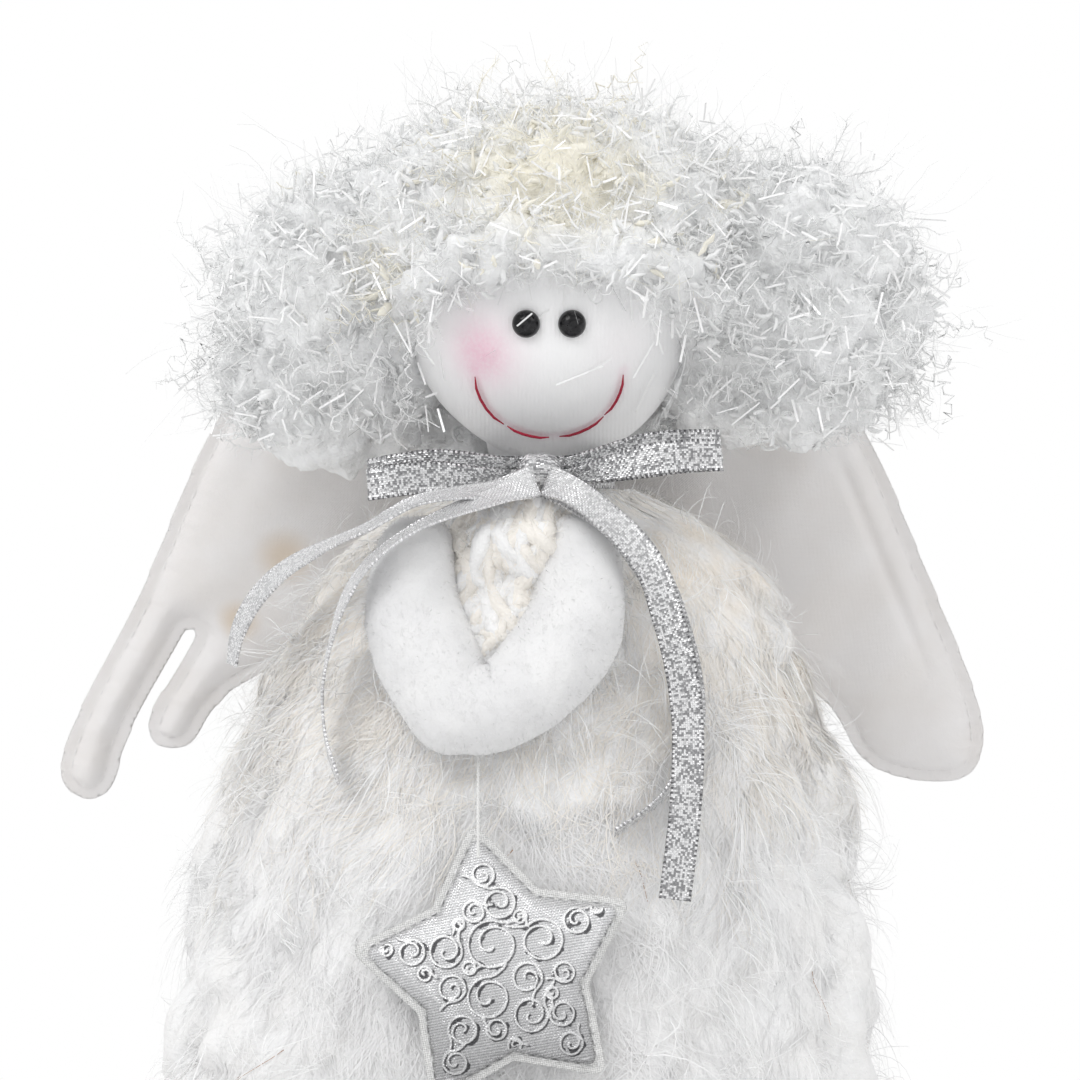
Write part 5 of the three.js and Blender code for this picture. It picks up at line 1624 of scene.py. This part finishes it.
    def yarn_fuzz(self, lines, thick, strand, fur):
        """Short fibres that lie along the strands and stand off them."""
        rng = np.random.default_rng(83)
        n, k, _ = lines.shape
        m = 60
        which, at = np.repeat(np.arange(n), m), rng.integers(0, k - 1, n * m)
        span = lines[which, at + 1] - lines[which, at]
        along = unit(span)
        round_it = unit(np.cross(along, rng.normal(size=(n * m, 3))))
        roots = lines[which, at] + span * rng.random((n * m, 1))
        roots = roots + round_it * (thick[which, at] * 0.9)[:, None]
        heading = along * rng.choice([-0.6, 1.0], (n * m, 1)) + round_it * 0.6 + rng.normal(0, 0.35, (n * m, 3))
        lengths = rng.uniform(1.5, 4.5, n * m) * MM
        fuzz = grow(roots, heading, lengths, 4, lambda p: rng.normal(0, 0.3, p.shape))
        mesh = strips("yarn_fuzz", fuzz, round_it, np.linspace(0.13, 0.05, 4) * MM, strand[which], round_it)
        return place(mesh, fur, "torso", "fur_yarn")

    def pile(self, settings, field, fur, turn, z, way, length, half):
        """The fibres that lie along the tufts."""
        rng = np.random.default_rng(93)
        n, m, k = len(z), settings.fibres, 6
        total = n * m
        each = lambda values: np.repeat(values, m)
        share = np.linspace(0, 1, k)
        w = each(way)[:, None] + rng.normal(0, 0.28, (total, 1)) + rng.normal(0, 0.5, (total, 1)) * share
        l = (each(length) * rng.uniform(0.5, 1.15, total))[:, None]
        start = each(length) * rng.uniform(-0.3, 0.4, total)
        side = each(half) * rng.normal(0, 0.75, total)
        down = start * np.cos(each(way)) - side * np.sin(each(way))
        over = start * np.sin(each(way)) + side * np.cos(each(way))
        fall = np.cumsum(np.cos(w), 1) * l / k + down[:, None]
        heights = np.clip(each(z)[:, None] - fall, CLEAR, DRESS_TOP)
        radius = dress_radius(heights) * MEAN_RADIUS
        turns = each(turn)[:, None] + (np.cumsum(np.sin(w), 1) * l / k + over[:, None]) / radius
        lift = rng.gamma(1.2, 0.9 * MM, (total, 1)) * share**1.5 + 0.15 * MM
        lines = on_dress(turns, heights, self.ground(field, turns, heights) + lift)
        lines = lines + wander(lines, 5 * MM, 94) * 0.5 * MM * share[:, None]
        lines = self.held_in(lines)
        widths = settings.fibre_width * rng.uniform(0.6, 1.3, (total, 1)) * np.linspace(1, 0.35, k)
        warm = smoothstep(118 * MM, 170 * MM, z) * 0.7
        strand = accented(each(rng.random(n) < warm) & (rng.random(total) < 0.8), rng)
        strand = np.where(rng.random(total) < 0.0008, DEEP, strand)
        ground = dress_normal(each(turn), each(z))
        facing = off_normal(ground, 0.25, rng)
        quarter = each((np.sin(turn) > 0) * 2 + (np.cos(turn) > 0))
        pieces = []
        for number, word in enumerate(("front_left", "front_right", "back_left", "back_right")):
            part = quarter == number
            mesh = strips("pile_" + word, *(values[part] for values in (lines, facing, widths, strand, ground)))
            pieces.append(place(mesh, fur, "torso", "fur_yarn"))
        return pieces

    def wisps(self, settings, field, fur):
        """Long stray fibres that stand off the dress."""
        rng = np.random.default_rng(97)
        each = 8
        turn, z = self.spots(settings.wisps // each, 4 * MM, 196 * MM, rng)
        shared = dress_normal(turn, z) * 0.7 + DOWN * 0.4 + rng.normal(0, 0.42, (len(z), 3))
        reach = settings.pile * rng.uniform(0.6, 1.6, len(z))
        broad = rng.choice([0.12, 0.19, 0.27], len(z), p=[0.5, 0.35, 0.15])
        turn = np.repeat(turn, each) + rng.normal(0, 0.035, len(z) * each)
        z = np.repeat(z, each) + rng.normal(0, 2 * MM, len(z) * each)
        normals = dress_normal(turn, z)
        roots = on_dress(turn, z, self.ground(field, turn, z))
        n, k = len(z), 7
        heading = np.repeat(shared, each, axis=0) + rng.normal(0, 0.22, (n, 3))
        lengths = np.repeat(reach, each) * rng.uniform(0.6, 1.15, n)
        lines = grow(roots, heading, lengths, k, lambda p: DOWN * 0.1 + wander(p, 9 * MM, 99) * 0.16)
        lines = self.held_in(lines)
        widths = np.repeat(broad, each)[:, None] * np.linspace(1, 0.35, k) * MM
        facing = off_normal(normals, 1, rng)
        mesh = strips("pile_wisps", lines, facing, widths, PLAIN * rng.random(n))
        return place(mesh, fur, "torso", "fur_yarn")

    def collar(self, ground, fur):
        """The fluff that fills the neck of the dress under the bow, and fuzz on it and round the rim."""
        rng = np.random.default_rng(85)
        mesh = ball("collar_fluff", 72, 40)
        sphere = points_of(mesh)
        points = (np.array([5, -14, 199.5]) + sphere * np.array([13.4, 18, 7])) * MM
        move_points(mesh, points + sphere * (wander(points, 5 * MM, 86)[:, 0] * 0.7 * MM)[:, None])
        place(mesh, ground, "torso", "fur_yarn")
        roots, normals = scatter(mesh, 5200, rng)
        up = roots[:, 2] > 198 * MM
        rim = 2600
        turn, z = rng.uniform(0, 2 * np.pi, rim), rng.uniform(196, 202.6, rim) * MM
        roots = np.concatenate([roots[up], on_dress(turn, z, -1.9 * MM)])
        normals = np.concatenate([normals[up], dress_normal(turn, z)])
        n, k = len(roots), 4
        heading = normals * 0.5 + rng.normal(0, 0.8, (n, 3))
        lines = grow(roots, heading, rng.uniform(1.5, 4, n) * MM, k, lambda p: rng.normal(0, 0.3, p.shape))
        lines[..., 2] = np.minimum(lines[..., 2], 207.5 * MM)
        facing = off_normal(normals, 0.25, rng)
        widths = np.linspace(0.15, 0.06, k) * MM
        mesh = strips("collar_fuzz", lines, facing, widths, PLAIN * rng.random(n), normals)
        place(mesh, fur, "torso", "fur_yarn")

    def held_in(self, lines):
        """Long fibres bend over, so that they stay near the dress, out of the ribbon, the star and the floor."""
        limit = 16 * MM
        middle = BODY_LEAN * lines[..., 2]
        x, y = lines[..., 0] - middle, lines[..., 1] / BODY_DEPTH
        reach = np.hypot(x, y)
        base = dress_radius(lines[..., 2])
        past = np.maximum(reach - base, 0)
        scale = np.where(past > 0, (base + limit * np.tanh(past / limit)) / np.maximum(reach, 1e-6), 1)
        lines = self.pressed(np.stack([middle + x * scale, y * scale * BODY_DEPTH, lines[..., 2]], -1))
        lines[..., 2] = np.maximum(lines[..., 2], CLEAR)
        return lines

    def pressed(self, lines, bed=None):
        """Fibres under the ribbon tails, and behind the star as it sways, are pressed flat onto their bed."""
        if bed is None:
            bed = np.random.default_rng(87).uniform(5.2, 6.4, (len(lines), 1)) * MM
        tails = np.concatenate([through([p for p, _ in route], 10)[20:] for route in TAILS.values()]) * MM
        tree = search_tree(tails * [1, 0, 1])
        under = 0.9 * MM
        front = np.flatnonzero((lines[..., 1] < -15 * MM).any(1) & (lines[:, 0, 2] > 110 * MM))
        for f in front:
            for point in lines[f]:
                _, i, far = tree.find((point[0], 0, point[2]))
                if far < 3.6 * MM and point[1] < tails[i][1] + under:
                    point[1] = tails[i][1] + under
        u, v, out = np.moveaxis(to_plane(STAR_AXES, lines), -1, 0)
        within = np.full(out.shape, -1.0)
        for sway in np.radians([-26, -17, -8, 0, 8, 17, 26]):
            across = u * math.cos(sway) + v * math.sin(sway)
            along = v * math.cos(sway) - u * math.sin(sway) - STAR_MIDDLE[1]
            turn = np.abs((np.arctan2(across, along) + np.pi / 5) % (2 * np.pi / 5) - np.pi / 5) / (np.pi / 5)
            within = np.maximum(within, (31 - 12 * turn) * MM - np.hypot(across, along))
        deep = np.where((out > -bed) & (lines[..., 1] < 0), out + bed, 0) * smoothstep(-7 * MM, 0, within)
        return lines - deep[..., None] * STAR_AXES[3]


class ANGEL_OT_arms(AngelOperator, bpy.types.Operator):
    """The stuffed fleece arms, whose hands are sewn together"""

    bl_idname = "angel.arms"
    bl_label = "Arms"

    def execute(self, context):
        settings = context.scene.angel_arms
        light, dark = settings.fleece, (0.8, 0.8, 0.805)
        soft = {"roughness": 0.95, "sheen_weight": 0.4}
        material = nap_material("white fleece", light, dark, 1500.0, 90.0, 0.12 * MM, **soft)
        mesh = soft_copy("arms_fleece", ["left_arm", "right_arm"], 1.6 * MM, 12)
        inflate(mesh, np.zeros(len(mesh.vertices)), 2.5, 1.0 * MM, 10)
        mesh = applied(mesh, SUBDIVIDED)
        points, normals = points_of(mesh), normals_of(mesh)
        gap = bell(points[:, 2] - 173 * MM, 10 * MM) * 3.4 * MM
        points[:, 0] += gap * normals[:, 0] * ((points[:, 0] + 4.5 * MM) * normals[:, 0] < 0)
        dents = wander(points, 11 * MM, 101)[:, 0] * 0.35 * MM + wander(points, 4 * MM, 102)[:, 1] * 0.08 * MM
        move_points(mesh, points + normals * dents[:, None])
        place(mesh, material, "arms", "fleece", "left_arm", "right_arm")
        self.nap(settings, mesh)
        return {"FINISHED"}

    def nap(self, settings, mesh):
        """The short fine nap that softens the fleece."""
        rng = np.random.default_rng(103)
        roots, normals = scatter(mesh, settings.nap, rng)
        n = len(roots)
        heading = normals + rng.normal(0, 0.55, (n, 3)) + DOWN * 0.25
        lines = grow(roots, heading, rng.uniform(0.5, 1.3, n) * MM, 3, lambda p: DOWN * 0.2)
        facing = off_normal(normals, 0.14, rng)
        material = fibre_material("fleece nap", settings.fleece, settings.fleece, 0.04, roughness=0.9)
        widths = np.array([0.07, 0.06, 0.03]) * MM
        place(strips("arms_nap", lines, facing, widths, rng.random(n), normals), material, "arms", "fleece")


# A common scroll ornament, in millimetres from the star's middle: place, radius, turn and hand of each curl
SCROLLS = [
    (-0.5, 5.2, 4.7, 60, 1), (-3.0, -5.0, 4.0, 80, 1), (9.6, 4.4, 4.0, 120, -1), (-9.6, 5.4, 3.2, 20, -1),
    (2.5, 13.0, 3.0, 100, -1), (-2.8, 12.2, 2.1, 40, 1), (0.2, 19.0, 2.2, 200, 1), (16.8, 7.0, 2.5, 60, 1),
    (-16.2, 6.4, 2.5, 100, -1), (5.4, -2.4, 2.9, 300, 1), (4.8, -9.8, 3.3, 20, -1), (10.8, -10.6, 2.4, 140, 1),
    (11.6, -16.6, 2.2, 30, -1), (-9.0, -10.4, 2.8, 200, -1), (-11.6, -16.4, 2.3, 80, 1), (-9.6, -2.0, 2.6, 260, 1),
    (21.2, 8.8, 1.2, 0, -1), (-21.0, 7.8, 1.2, 90, 1), (-2.4, -11.4, 2.0, 160, 1), (13.6, -21.2, 1.2, 60, 1),
    (-13.4, -20.6, 1.2, 150, -1), (12.6, -2.6, 2.0, 220, 1), (6.0, 9.6, 1.3, 330, 1), (-6.2, 10.2, 1.2, 200, -1),
    (0.6, -15.0, 1.4, 20, 1), (-5.6, 1.4, 1.3, 330, -1), (9.6, -6.2, 1.2, 100, 1), (-14.4, 1.8, 1.4, 0, 1),
]


class ANGEL_OT_star(AngelOperator, bpy.types.Operator):
    """The padded silver star with pressed scrolls, its sheer stitched border and its thread"""

    bl_idname = "angel.star"
    bl_label = "Star"

    def execute(self, context):
        settings = context.scene.angel_star
        self.cushion(settings)
        self.border(settings)
        self.thread()
        return {"FINISHED"}

    def scrolls(self):
        """The scrolls' lines, each a spiral with a lead into it."""
        t = np.linspace(0, 1, 70)
        back = np.linspace(1, 0, 14)[:, None]
        lines = []
        for u, v, wide, turn, hand in SCROLLS:
            angle = math.radians(turn) + hand * t * 3.3 * np.pi
            reach = wide * MM * np.where(t < 0.5, 1 - 0.12 * t, 0.94 * (1 - t) / 0.5 * 0.85 + 0.14)
            at = STAR_MIDDLE + np.array([u, v]) * MM
            spiral = at + np.stack([np.cos(angle), np.sin(angle)], 1) * reach[:, None]
            way, bend = unit(spiral[0] - spiral[1]), unit(spiral[0] - at)
            lead = spiral[0] + way * wide * 0.9 * MM * back + bend * wide * 0.55 * MM * back**2
            lines.append(np.vstack([lead[:-1], spiral]))
        return lines

    def cushion(self, settings):
        outline = star_outline(settings.radius - settings.border)

        def height(way):
            dome = np.clip(way / (9 * MM), 0, 1)
            return settings.puff * np.sqrt(np.maximum(1 - (1 - dome) ** 2.2, 0)) * 0.94 + 0.02 * MM

        mesh, way = pillow("star_cushion", outline, 0.4 * MM, height, STAR_AXES)
        inflate(mesh, (way < 0.3 * MM).astype(float), 3.0, 0.7 * MM, 8)
        points, normals = points_of(mesh), normals_of(mesh)
        tree = search_tree(in_space(np.concatenate([evenly(line, 160) for line in self.scrolls()])))
        flat = to_plane(STAR_AXES, points) * [1, 1, 0]
        near = distances(tree, flat)
        # A second distance, from places shifted a little aside, gives where the painted shadow line beside each
        # scroll lies.
        under = distances(tree, flat + np.array([-0.26, 0.32, 0]) * MM)
        inner = smoothstep(0.3 * MM, 1.2 * MM, way)
        ridge = smoothstep(0.45 * MM, 0.1 * MM, near) * inner
        pucker = np.sin(wander(points, 2.2 * MM, 111)[:, 0] * 3) * bell(way, 2 * MM) * 0.12 * MM
        move_points(mesh, points + normals * (ridge * settings.relief + pucker)[:, None])
        for name, far in (("Scroll", near), ("Shadow", under)):
            set_value(mesh, name, far / MM + 3 * (1 - inner))
        material = self.silver(settings)
        star = place(mesh, material, "star", "lame", "star_front", "star_back", "star_filling")

    def silver(self, settings):
        """Metallic cloth with a painted highlight on the scrolls, a painted shadow line beside each one, and
        painted shade that makes it darker below, where it reflects less light.
        """
        material, tree, shader = new_material("silver cloth", metallic=0.8)
        thread = own_uv(tree, "Weave")
        weave = add_weave(tree, thread, 2.9)
        rows = add_math(tree, "PINGPONG", add_node(tree, "SeparateXYZ", {0: thread})[1], 0.27)
        glint = add_math(tree, "MULTIPLY", weave["Glint"], 0.35)
        hatch = add_math(tree, "ADD", glint, add_range(tree, rows, 0.06, 0.2, 0.0, 0.65))
        # Painted shadow: a dark line beside each scroll, made wider in some places by noise.
        wider_shadow = add_range(tree, add_noise(tree, thread, 0.4, 1.0), 0.52, 0.68, 0.0, 0.4)
        shadow = add_math(tree, "SUBTRACT", value_of(tree, "Shadow"), wider_shadow)
        tone = add_mix(tree, hatch, rgb(settings.dull), rgb(settings.silver))
        tone = add_mix(tree, add_range(tree, shadow, 0.34, 0.12, 0.0, 0.9), tone, rgb(settings.groove))
        # Painted highlight: the cloth is lighter along the scroll lines, as the light on their raised ridges.
        scroll = add_range(tree, value_of(tree, "Scroll"), 0.3, 0.12)
        tone = add_mix(tree, scroll, tone, rgb(settings.bright))
        # Painted reflection and shade: the colour is lighter towards the top of the star and darker towards its
        # bottom, as the light it reflects would be.
        level = add_node(tree, "SeparateXYZ", {0: object_place(tree)})[2]
        lit = add_grey(tree, add_range(tree, level, 0.085, 0.12, 0.76, 1.3))
        link(tree, add_mix(tree, 1.0, tone, lit, "MULTIPLY"), shader["Base Color"])
        link(tree, add_range(tree, weave["Glint"], 0.0, 1.0, 0.4, 0.24), shader["Roughness"])
        link(tree, bump(tree, weave["Height"], 0.08 * MM), shader["Normal"])
        return material

    def border(self, settings):
        outer = star_outline(settings.radius)
        flat, triangles, *_ = panel(outer, 0.7 * MM)
        lift = 0.12 * MM * np.sin(flat[:, :1] / MM * 1.9 + flat[:, 1:] / MM * 1.3)
        mesh = mesh_of("star_edging", in_plane(STAR_AXES, flat, lift), triangles, flat / MM, "Weave")
        mesh = applied(mesh, ("SOLIDIFY", {"thickness": 0.5 * MM, "offset": 0.0}))
        material, tree, shader = new_material("sheer edging", roughness=0.45)
        weave = add_weave(tree, own_uv(tree, "Weave"), 2.4)
        tone = add_mix(tree, weave["Glint"], (0.8, 0.8, 0.79, 1), (0.95, 0.95, 0.94, 1))
        link(tree, tone, shader["Base Color"])
        link(tree, add_range(tree, weave["Height"], 0.1, 0.7, 0.55, 0.95), shader["Alpha"])
        link(tree, bump(tree, weave["Height"], 0.1 * MM), shader["Normal"])
        edging = place(mesh, material, "star", "organza", "star_border")
        silver = {"tip": (0.9, 0.9, 0.9), "root": (0.8, 0.8, 0.8), "accent": (0.7, 0.7, 0.7)}
        thread = fibre_material("silver sewing thread", spread=0.3, roughness=0.35, **silver)
        sewn = sewn_edge("star_stitches", outer, STAR_AXES, 1.25 * MM, 1.5 * MM, 0.7 * MM, 0.2 * MM)
        sewn = place(sewn, thread, "star", "organza")

    def thread(self):
        """Two plies from the hands to the star, and the loop through its hole."""
        start, end = np.array([[-7.2, -51.0, 150.2], [-7.2, -56.4, 130.4]]) * MM
        share = np.linspace(0, 1, 40)[:, None]
        circle = lambda turn, up: np.cos(turn) * np.array([1, 0, 0]) + np.sin(turn) * np.array(up)
        plies = [
            start + (end - start) * share + 0.2 * MM * circle(share * 2 * np.pi * 11 + ply, [0, 1, 0.2])
            for ply in (0, np.pi)
        ]
        loop = end + np.array([0, 0.6, -0.6]) * MM + 0.8 * MM * circle(share * 2 * np.pi, [0, -0.35, 1])
        white = {"tip": (0.85, 0.85, 0.84), "root": (0.75, 0.75, 0.74), "accent": (0.8, 0.8, 0.8)}
        material = fibre_material("white sewing thread", spread=0.1, roughness=0.6, **white)
        radii = np.full(len(share), 0.21 * MM)
        mesh = tubes("star_cord", np.stack([*plies, loop]), radii, 6, np.array([0.1, 0.3, 0.5]))
        place(mesh, material, "star_thread", "white_thread", "star_thread")


WING_SPAN, WING_UP, WING_DOWN = 89 * MM, 43 * MM, 52 * MM
# Half of the seam along the wing's root, and how far the wing keeps off it
WING_SEAM, WING_FREE = 17.5 * MM, 0.6 * MM


class ANGEL_OT_wings(AngelOperator, bpy.types.Operator):
    """The padded satin wings with their sewn edges"""

    bl_idname = "angel.wings"
    bl_label = "Wings"

    def execute(self, context):
        settings = context.scene.angel_wings
        material = self.satin(settings)
        pale = {"tip": (0.92, 0.9, 0.9), "root": (0.9, 0.88, 0.87), "accent": (0.9, 0.9, 0.9)}
        thread = fibre_material("satin thread", spread=0.05, roughness=0.45, **pale)
        for word, side in (("left", -1), ("right", 1)):
            mirror = np.array([side, 1, 1])
            axes = [
                np.array([4.655 + side * 12, 34.826, 189]) * MM,
                np.array([0.9945, 0.1045, 0]) * mirror,
                np.array([0.0356, -0.3385, 0.9403]) * mirror,
                np.array([0.0983, -0.9351, -0.3404]) * mirror,
            ]
            self.wing(settings, material, thread, word, axes)
        return {"FINISHED"}

    def outline(self, word):
        """A long and a short feather on the left wing, and one broad feather on the right wing."""
        s, c, d, seam, free = WING_SPAN, WING_UP, WING_DOWN, WING_SEAM, WING_FREE
        route = [
            ((0.16 * s, 0.72 * c), (0.26 * s, c), (0.41 * s, c)),
            ((0.57 * s, c), (0.66 * s, 0.45 * c), (0.77 * s, -0.05 * d)),
        ]
        if word == "left":
            route += [
                ((0.85 * s, -0.36 * d), (0.985 * s, -0.68 * d), (s, -0.87 * d)),
                ((1.01 * s, -1.04 * d), (0.885 * s, -1.08 * d), (0.86 * s, -0.9 * d)),
                ((0.84 * s, -0.72 * d), (0.75 * s, -0.5 * d), (0.685 * s, -0.3 * d)),
                ((0.68 * s, -0.295 * d), (0.67 * s, -0.295 * d), (0.665 * s, -0.3 * d)),
                ((0.715 * s, -0.47 * d), (0.775 * s, -0.58 * d), (0.79 * s, -0.68 * d)),
                ((0.8 * s, -0.83 * d), (0.69 * s, -0.85 * d), (0.655 * s, -0.7 * d)),
                ((0.59 * s, -0.5 * d), (0.45 * s, -0.36 * d), (free, -seam)),
            ]
        else:
            route += [
                ((0.84 * s, -0.33 * d), (0.92 * s, -0.6 * d), (0.92 * s, -0.76 * d)),
                ((0.92 * s, -0.93 * d), (0.86 * s, -0.95 * d), (0.79 * s, -0.94 * d)),
                ((0.72 * s, -0.93 * d), (0.64 * s, -0.9 * d), (0.6 * s, -0.76 * d)),
                ((0.55 * s, -0.55 * d), (0.42 * s, -0.36 * d), (free, -seam)),
            ]
        at = np.array([free, seam])
        line = []
        for first, second, end in route:
            line.append(bezier(at, np.array(first), np.array(second), np.array(end), 24))
            at = np.array(end)
        return np.vstack([*line, [at]])

    def wing(self, settings, material, thread, word, axes):
        outline = self.outline(word)

        def height(way):
            past = np.maximum(way - settings.flange, 0)
            return 0.4 * MM + (settings.puff - 0.4 * MM) * 0.9 * (1 - np.exp(-past / (3.4 * MM)))

        name = word + "_wing"
        mesh, way = pillow(name + "_satin", outline, 1.5 * MM, height, axes)
        inflate(mesh, (way < settings.flange).astype(float), 2.0, 1.2 * MM, 14)
        mesh = applied(mesh, SUBDIVIDED)
        points, normals = points_of(mesh), normals_of(mesh)
        flat = to_plane(axes, points)[:, :2]
        way = edge_distance(flat, outline)
        past = way - settings.flange
        groove = bell(past, 0.55 * MM) * 0.3 * MM
        ripple = np.sin(wander(in_space(flat), 3.6 * MM, 121)[:, 0] * 3.4)
        pucker = ripple * bell(past - 1.4 * MM, 2.4 * MM) * 0.16 * MM
        shift = pucker + wander(points, 16 * MM, 122)[:, 0] * smoothstep(3 * MM, 12 * MM, way) * 0.45 * MM - groove
        if word == "right":
            fold = bell(way - 8 * MM, 1.3 * MM) * smoothstep(0.5, 0.6, flat[:, 0] / WING_SPAN) * 0.9 * MM
            level = smoothstep(-30 * MM, -12 * MM, flat[:, 1]) * smoothstep(38 * MM, 20 * MM, flat[:, 1])
            shift -= fold * level
        move_points(mesh, points + normals * shift[:, None])
        nodes = [name + part for part in ("_front", "_back", "_filling")]
        place(mesh, material, name, "satin", *nodes)
        sewn = sewn_edge(name + "_stitches", outline, axes, settings.flange, 2.0 * MM, 0.55 * MM, 0.13 * MM)
        place(sewn, thread, name, "satin")

    def satin(self, settings):
        material, tree, shader = new_material("white satin", sheen_weight=0.2)
        spot = own_uv(tree, "Weave")
        weave = add_weave(tree, spot, 3.6)
        cloth = add_nap(tree, spot, 1.2, 0.06)
        warm = add_range(tree, cloth["Tone"], 0.35, 0.68, 0.0, 0.55)
        tone = add_mix(tree, warm, rgb(settings.satin), (0.9, 0.865, 0.84, 1))
        for mark, wide in (((-47, 35.5, 190), 8), ((-57, 40, 176), 6)):
            far = away_from(tree, tuple(value * MM for value in mark))
            tone = add_mix(tree, add_range(tree, far, wide * MM, 1 * MM, 0.0, 0.6), tone, (0.72, 0.55, 0.36, 1))
        link(tree, tone, shader["Base Color"])
        link(tree, add_range(tree, weave["Glint"], 0.0, 1.0, 0.3, 0.42), shader["Roughness"])
        height = add_math(tree, "ADD", weave["Height"], add_math(tree, "MULTIPLY", cloth["Height"], 2.0))
        link(tree, bump(tree, height, 0.05 * MM), shader["Normal"])
        return material


# Plain cloths: light and dark colour, scales of the nap and of the patches, depth in millimetres and roughness
CLOTHS = {
    "pale felt": ((0.8, 0.785, 0.76), (0.7, 0.68, 0.65), 700.0, 160.0, 0.35, 1.0),
    "tan cotton": ((0.68, 0.55, 0.38), (0.58, 0.46, 0.31), 1600.0, 120.0, 0.1, 0.95),
    "wadding": ((0.9, 0.9, 0.88), (0.8, 0.8, 0.78), 300.0, 90.0, 0.8, 1.0),
    "grey card": ((0.5, 0.4, 0.27), (0.42, 0.33, 0.22), 2200.0, 200.0, 0.05, 0.9),
    "pellet bag cloth": ((0.7, 0.68, 0.62), (0.55, 0.53, 0.48), 260.0, 260.0, 1.2, 0.8),
}
# What is inside, with the cloth that it is shown in
INSIDE = {
    "body_cover": "tan cotton",
    "body_stuffing": "wadding",
    "head_stuffing": "wadding",
    "base_card": "grey card",
    "pellet_bag": "pellet bag cloth",
}
BASE_RADIUS = 58.6


class ANGEL_OT_underneath(AngelOperator, bpy.types.Operator):
    """The neck, the felt tab, the base cloth, and finishes for what is inside"""

    bl_idname = "angel.underneath"
    bl_label = "Neck, tab and base"

    def execute(self, context):
        cloths = {
            name: nap_material(name, color, dark, nap, patches, depth * MM, roughness=roughness)
            for name, (color, dark, nap, patches, depth, roughness) in CLOTHS.items()
        }
        self.neck(context.scene.angel_face.skin)
        mesh = soft_copy("tab_felt", ["wing_tab"], 0.9 * MM, 4)
        place(mesh, cloths["pale felt"], "torso", "felt", "wing_tab")
        self.base(cloths["tan cotton"])
        for node, cloth in INSIDE.items():
            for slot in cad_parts[node].material_slots:
                slot.material = cloths[cloth]
        return {"FINISHED"}

    def neck(self, skin):
        jersey = nap_material("gathered jersey", skin, (0.78, 0.78, 0.8), 1400.0, 80.0, 0.1 * MM, roughness=0.9)
        mesh = soft_copy("neck_jersey", ["neck"], 1.0 * MM, 4)
        points, normals = points_of(mesh), normals_of(mesh)
        turn = np.arctan2(points[:, 1] - TILT[1], points[:, 0] - TILT[0])
        gather = np.sin(turn * 22) * 0.22 * MM * smoothstep(206 * MM, 200 * MM, points[:, 2])
        move_points(mesh, points + normals * gather[:, None])
        place(mesh, jersey, "torso", "jersey", "neck")

    def base(self, cotton):
        """The cloth that closes the dress below, with its gathered and sewn rim."""
        profile = ((BASE_RADIUS, 1.3), (58.4, 0.25), (56.5, 0.05), (52, 0.12), (44, 0.3), (30, 0.42), (14, 0.45))
        i = np.arange(120)
        turn = i * 2 * np.pi / len(i)
        rings = []
        for radius, lift in profile:
            gather = 0.22 * np.sin(i * np.pi / 2) * smoothstep(30, 57, radius)
            ring = [-radius * np.sin(turn), BODY_DEPTH * radius * np.cos(turn), 0.3 + lift + gather]
            rings.append(np.stack(ring, 1) * MM)
        faces = ring_faces(np.arange(len(rings) - 1), len(i))[:, ::-1].tolist()
        inner = [(i + len(i) * (len(rings) - 1))[::-1].tolist()]
        mesh = mixed_mesh("base_cloth", np.concatenate(rings), faces + inner)
        mesh = applied(mesh, ("SOLIDIFY", {"thickness": 0.7 * MM, "offset": -1.0}))
        piece = place(mesh, cotton, "torso", "cotton", "base_panel")


class ANGEL_PT_sidebar(bpy.types.Panel):
    """Lists the pieces of the angel"""

    bl_idname = "ANGEL_PT_sidebar"
    bl_label = "Yarn angel"
    bl_space_type = "VIEW_3D"
    bl_region_type = "UI"
    bl_category = "Yarn angel"

    def draw(self, context):
        for operator in OPERATORS:
            self.layout.operator(operator.bl_idname)
        for name in SETTINGS:
            group = getattr(context.scene, name)
            box = self.layout.box()
            for key in group.__annotations__:
                box.prop(group, key)


SETTINGS = {
    "angel_stage": StageSettings,
    "angel_ribbon": RibbonSettings,
    "angel_face": FaceSettings,
    "angel_hair": HairSettings,
    "angel_dress": DressSettings,
    "angel_arms": ArmSettings,
    "angel_star": StarSettings,
    "angel_wings": WingSettings,
}
OPERATORS = (
    ANGEL_OT_stage,
    ANGEL_OT_ribbon_tails,
    ANGEL_OT_bow,
    ANGEL_OT_head,
    ANGEL_OT_hair,
    ANGEL_OT_dress,
    ANGEL_OT_arms,
    ANGEL_OT_star,
    ANGEL_OT_wings,
    ANGEL_OT_underneath,
)


def register():
    for name, group in SETTINGS.items():
        bpy.utils.register_class(group)
        setattr(bpy.types.Scene, name, PointerProperty(type=group))
    for operator in OPERATORS:
        bpy.utils.register_class(operator)
    bpy.utils.register_class(ANGEL_PT_sidebar)


def unregister():
    bpy.utils.unregister_class(ANGEL_PT_sidebar)
    for operator in reversed(OPERATORS):
        bpy.utils.unregister_class(operator)
    for name, group in SETTINGS.items():
        delattr(bpy.types.Scene, name)
        bpy.utils.unregister_class(group)


def main():
    register()
    for operator in OPERATORS:
        area, name = operator.bl_idname.split(".")
        getattr(getattr(bpy.ops, area), name)()
    sizes = {"cad": CAD_BOX, "visual": [list(corner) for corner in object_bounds()]}


if __name__ == "__main__":
    main()
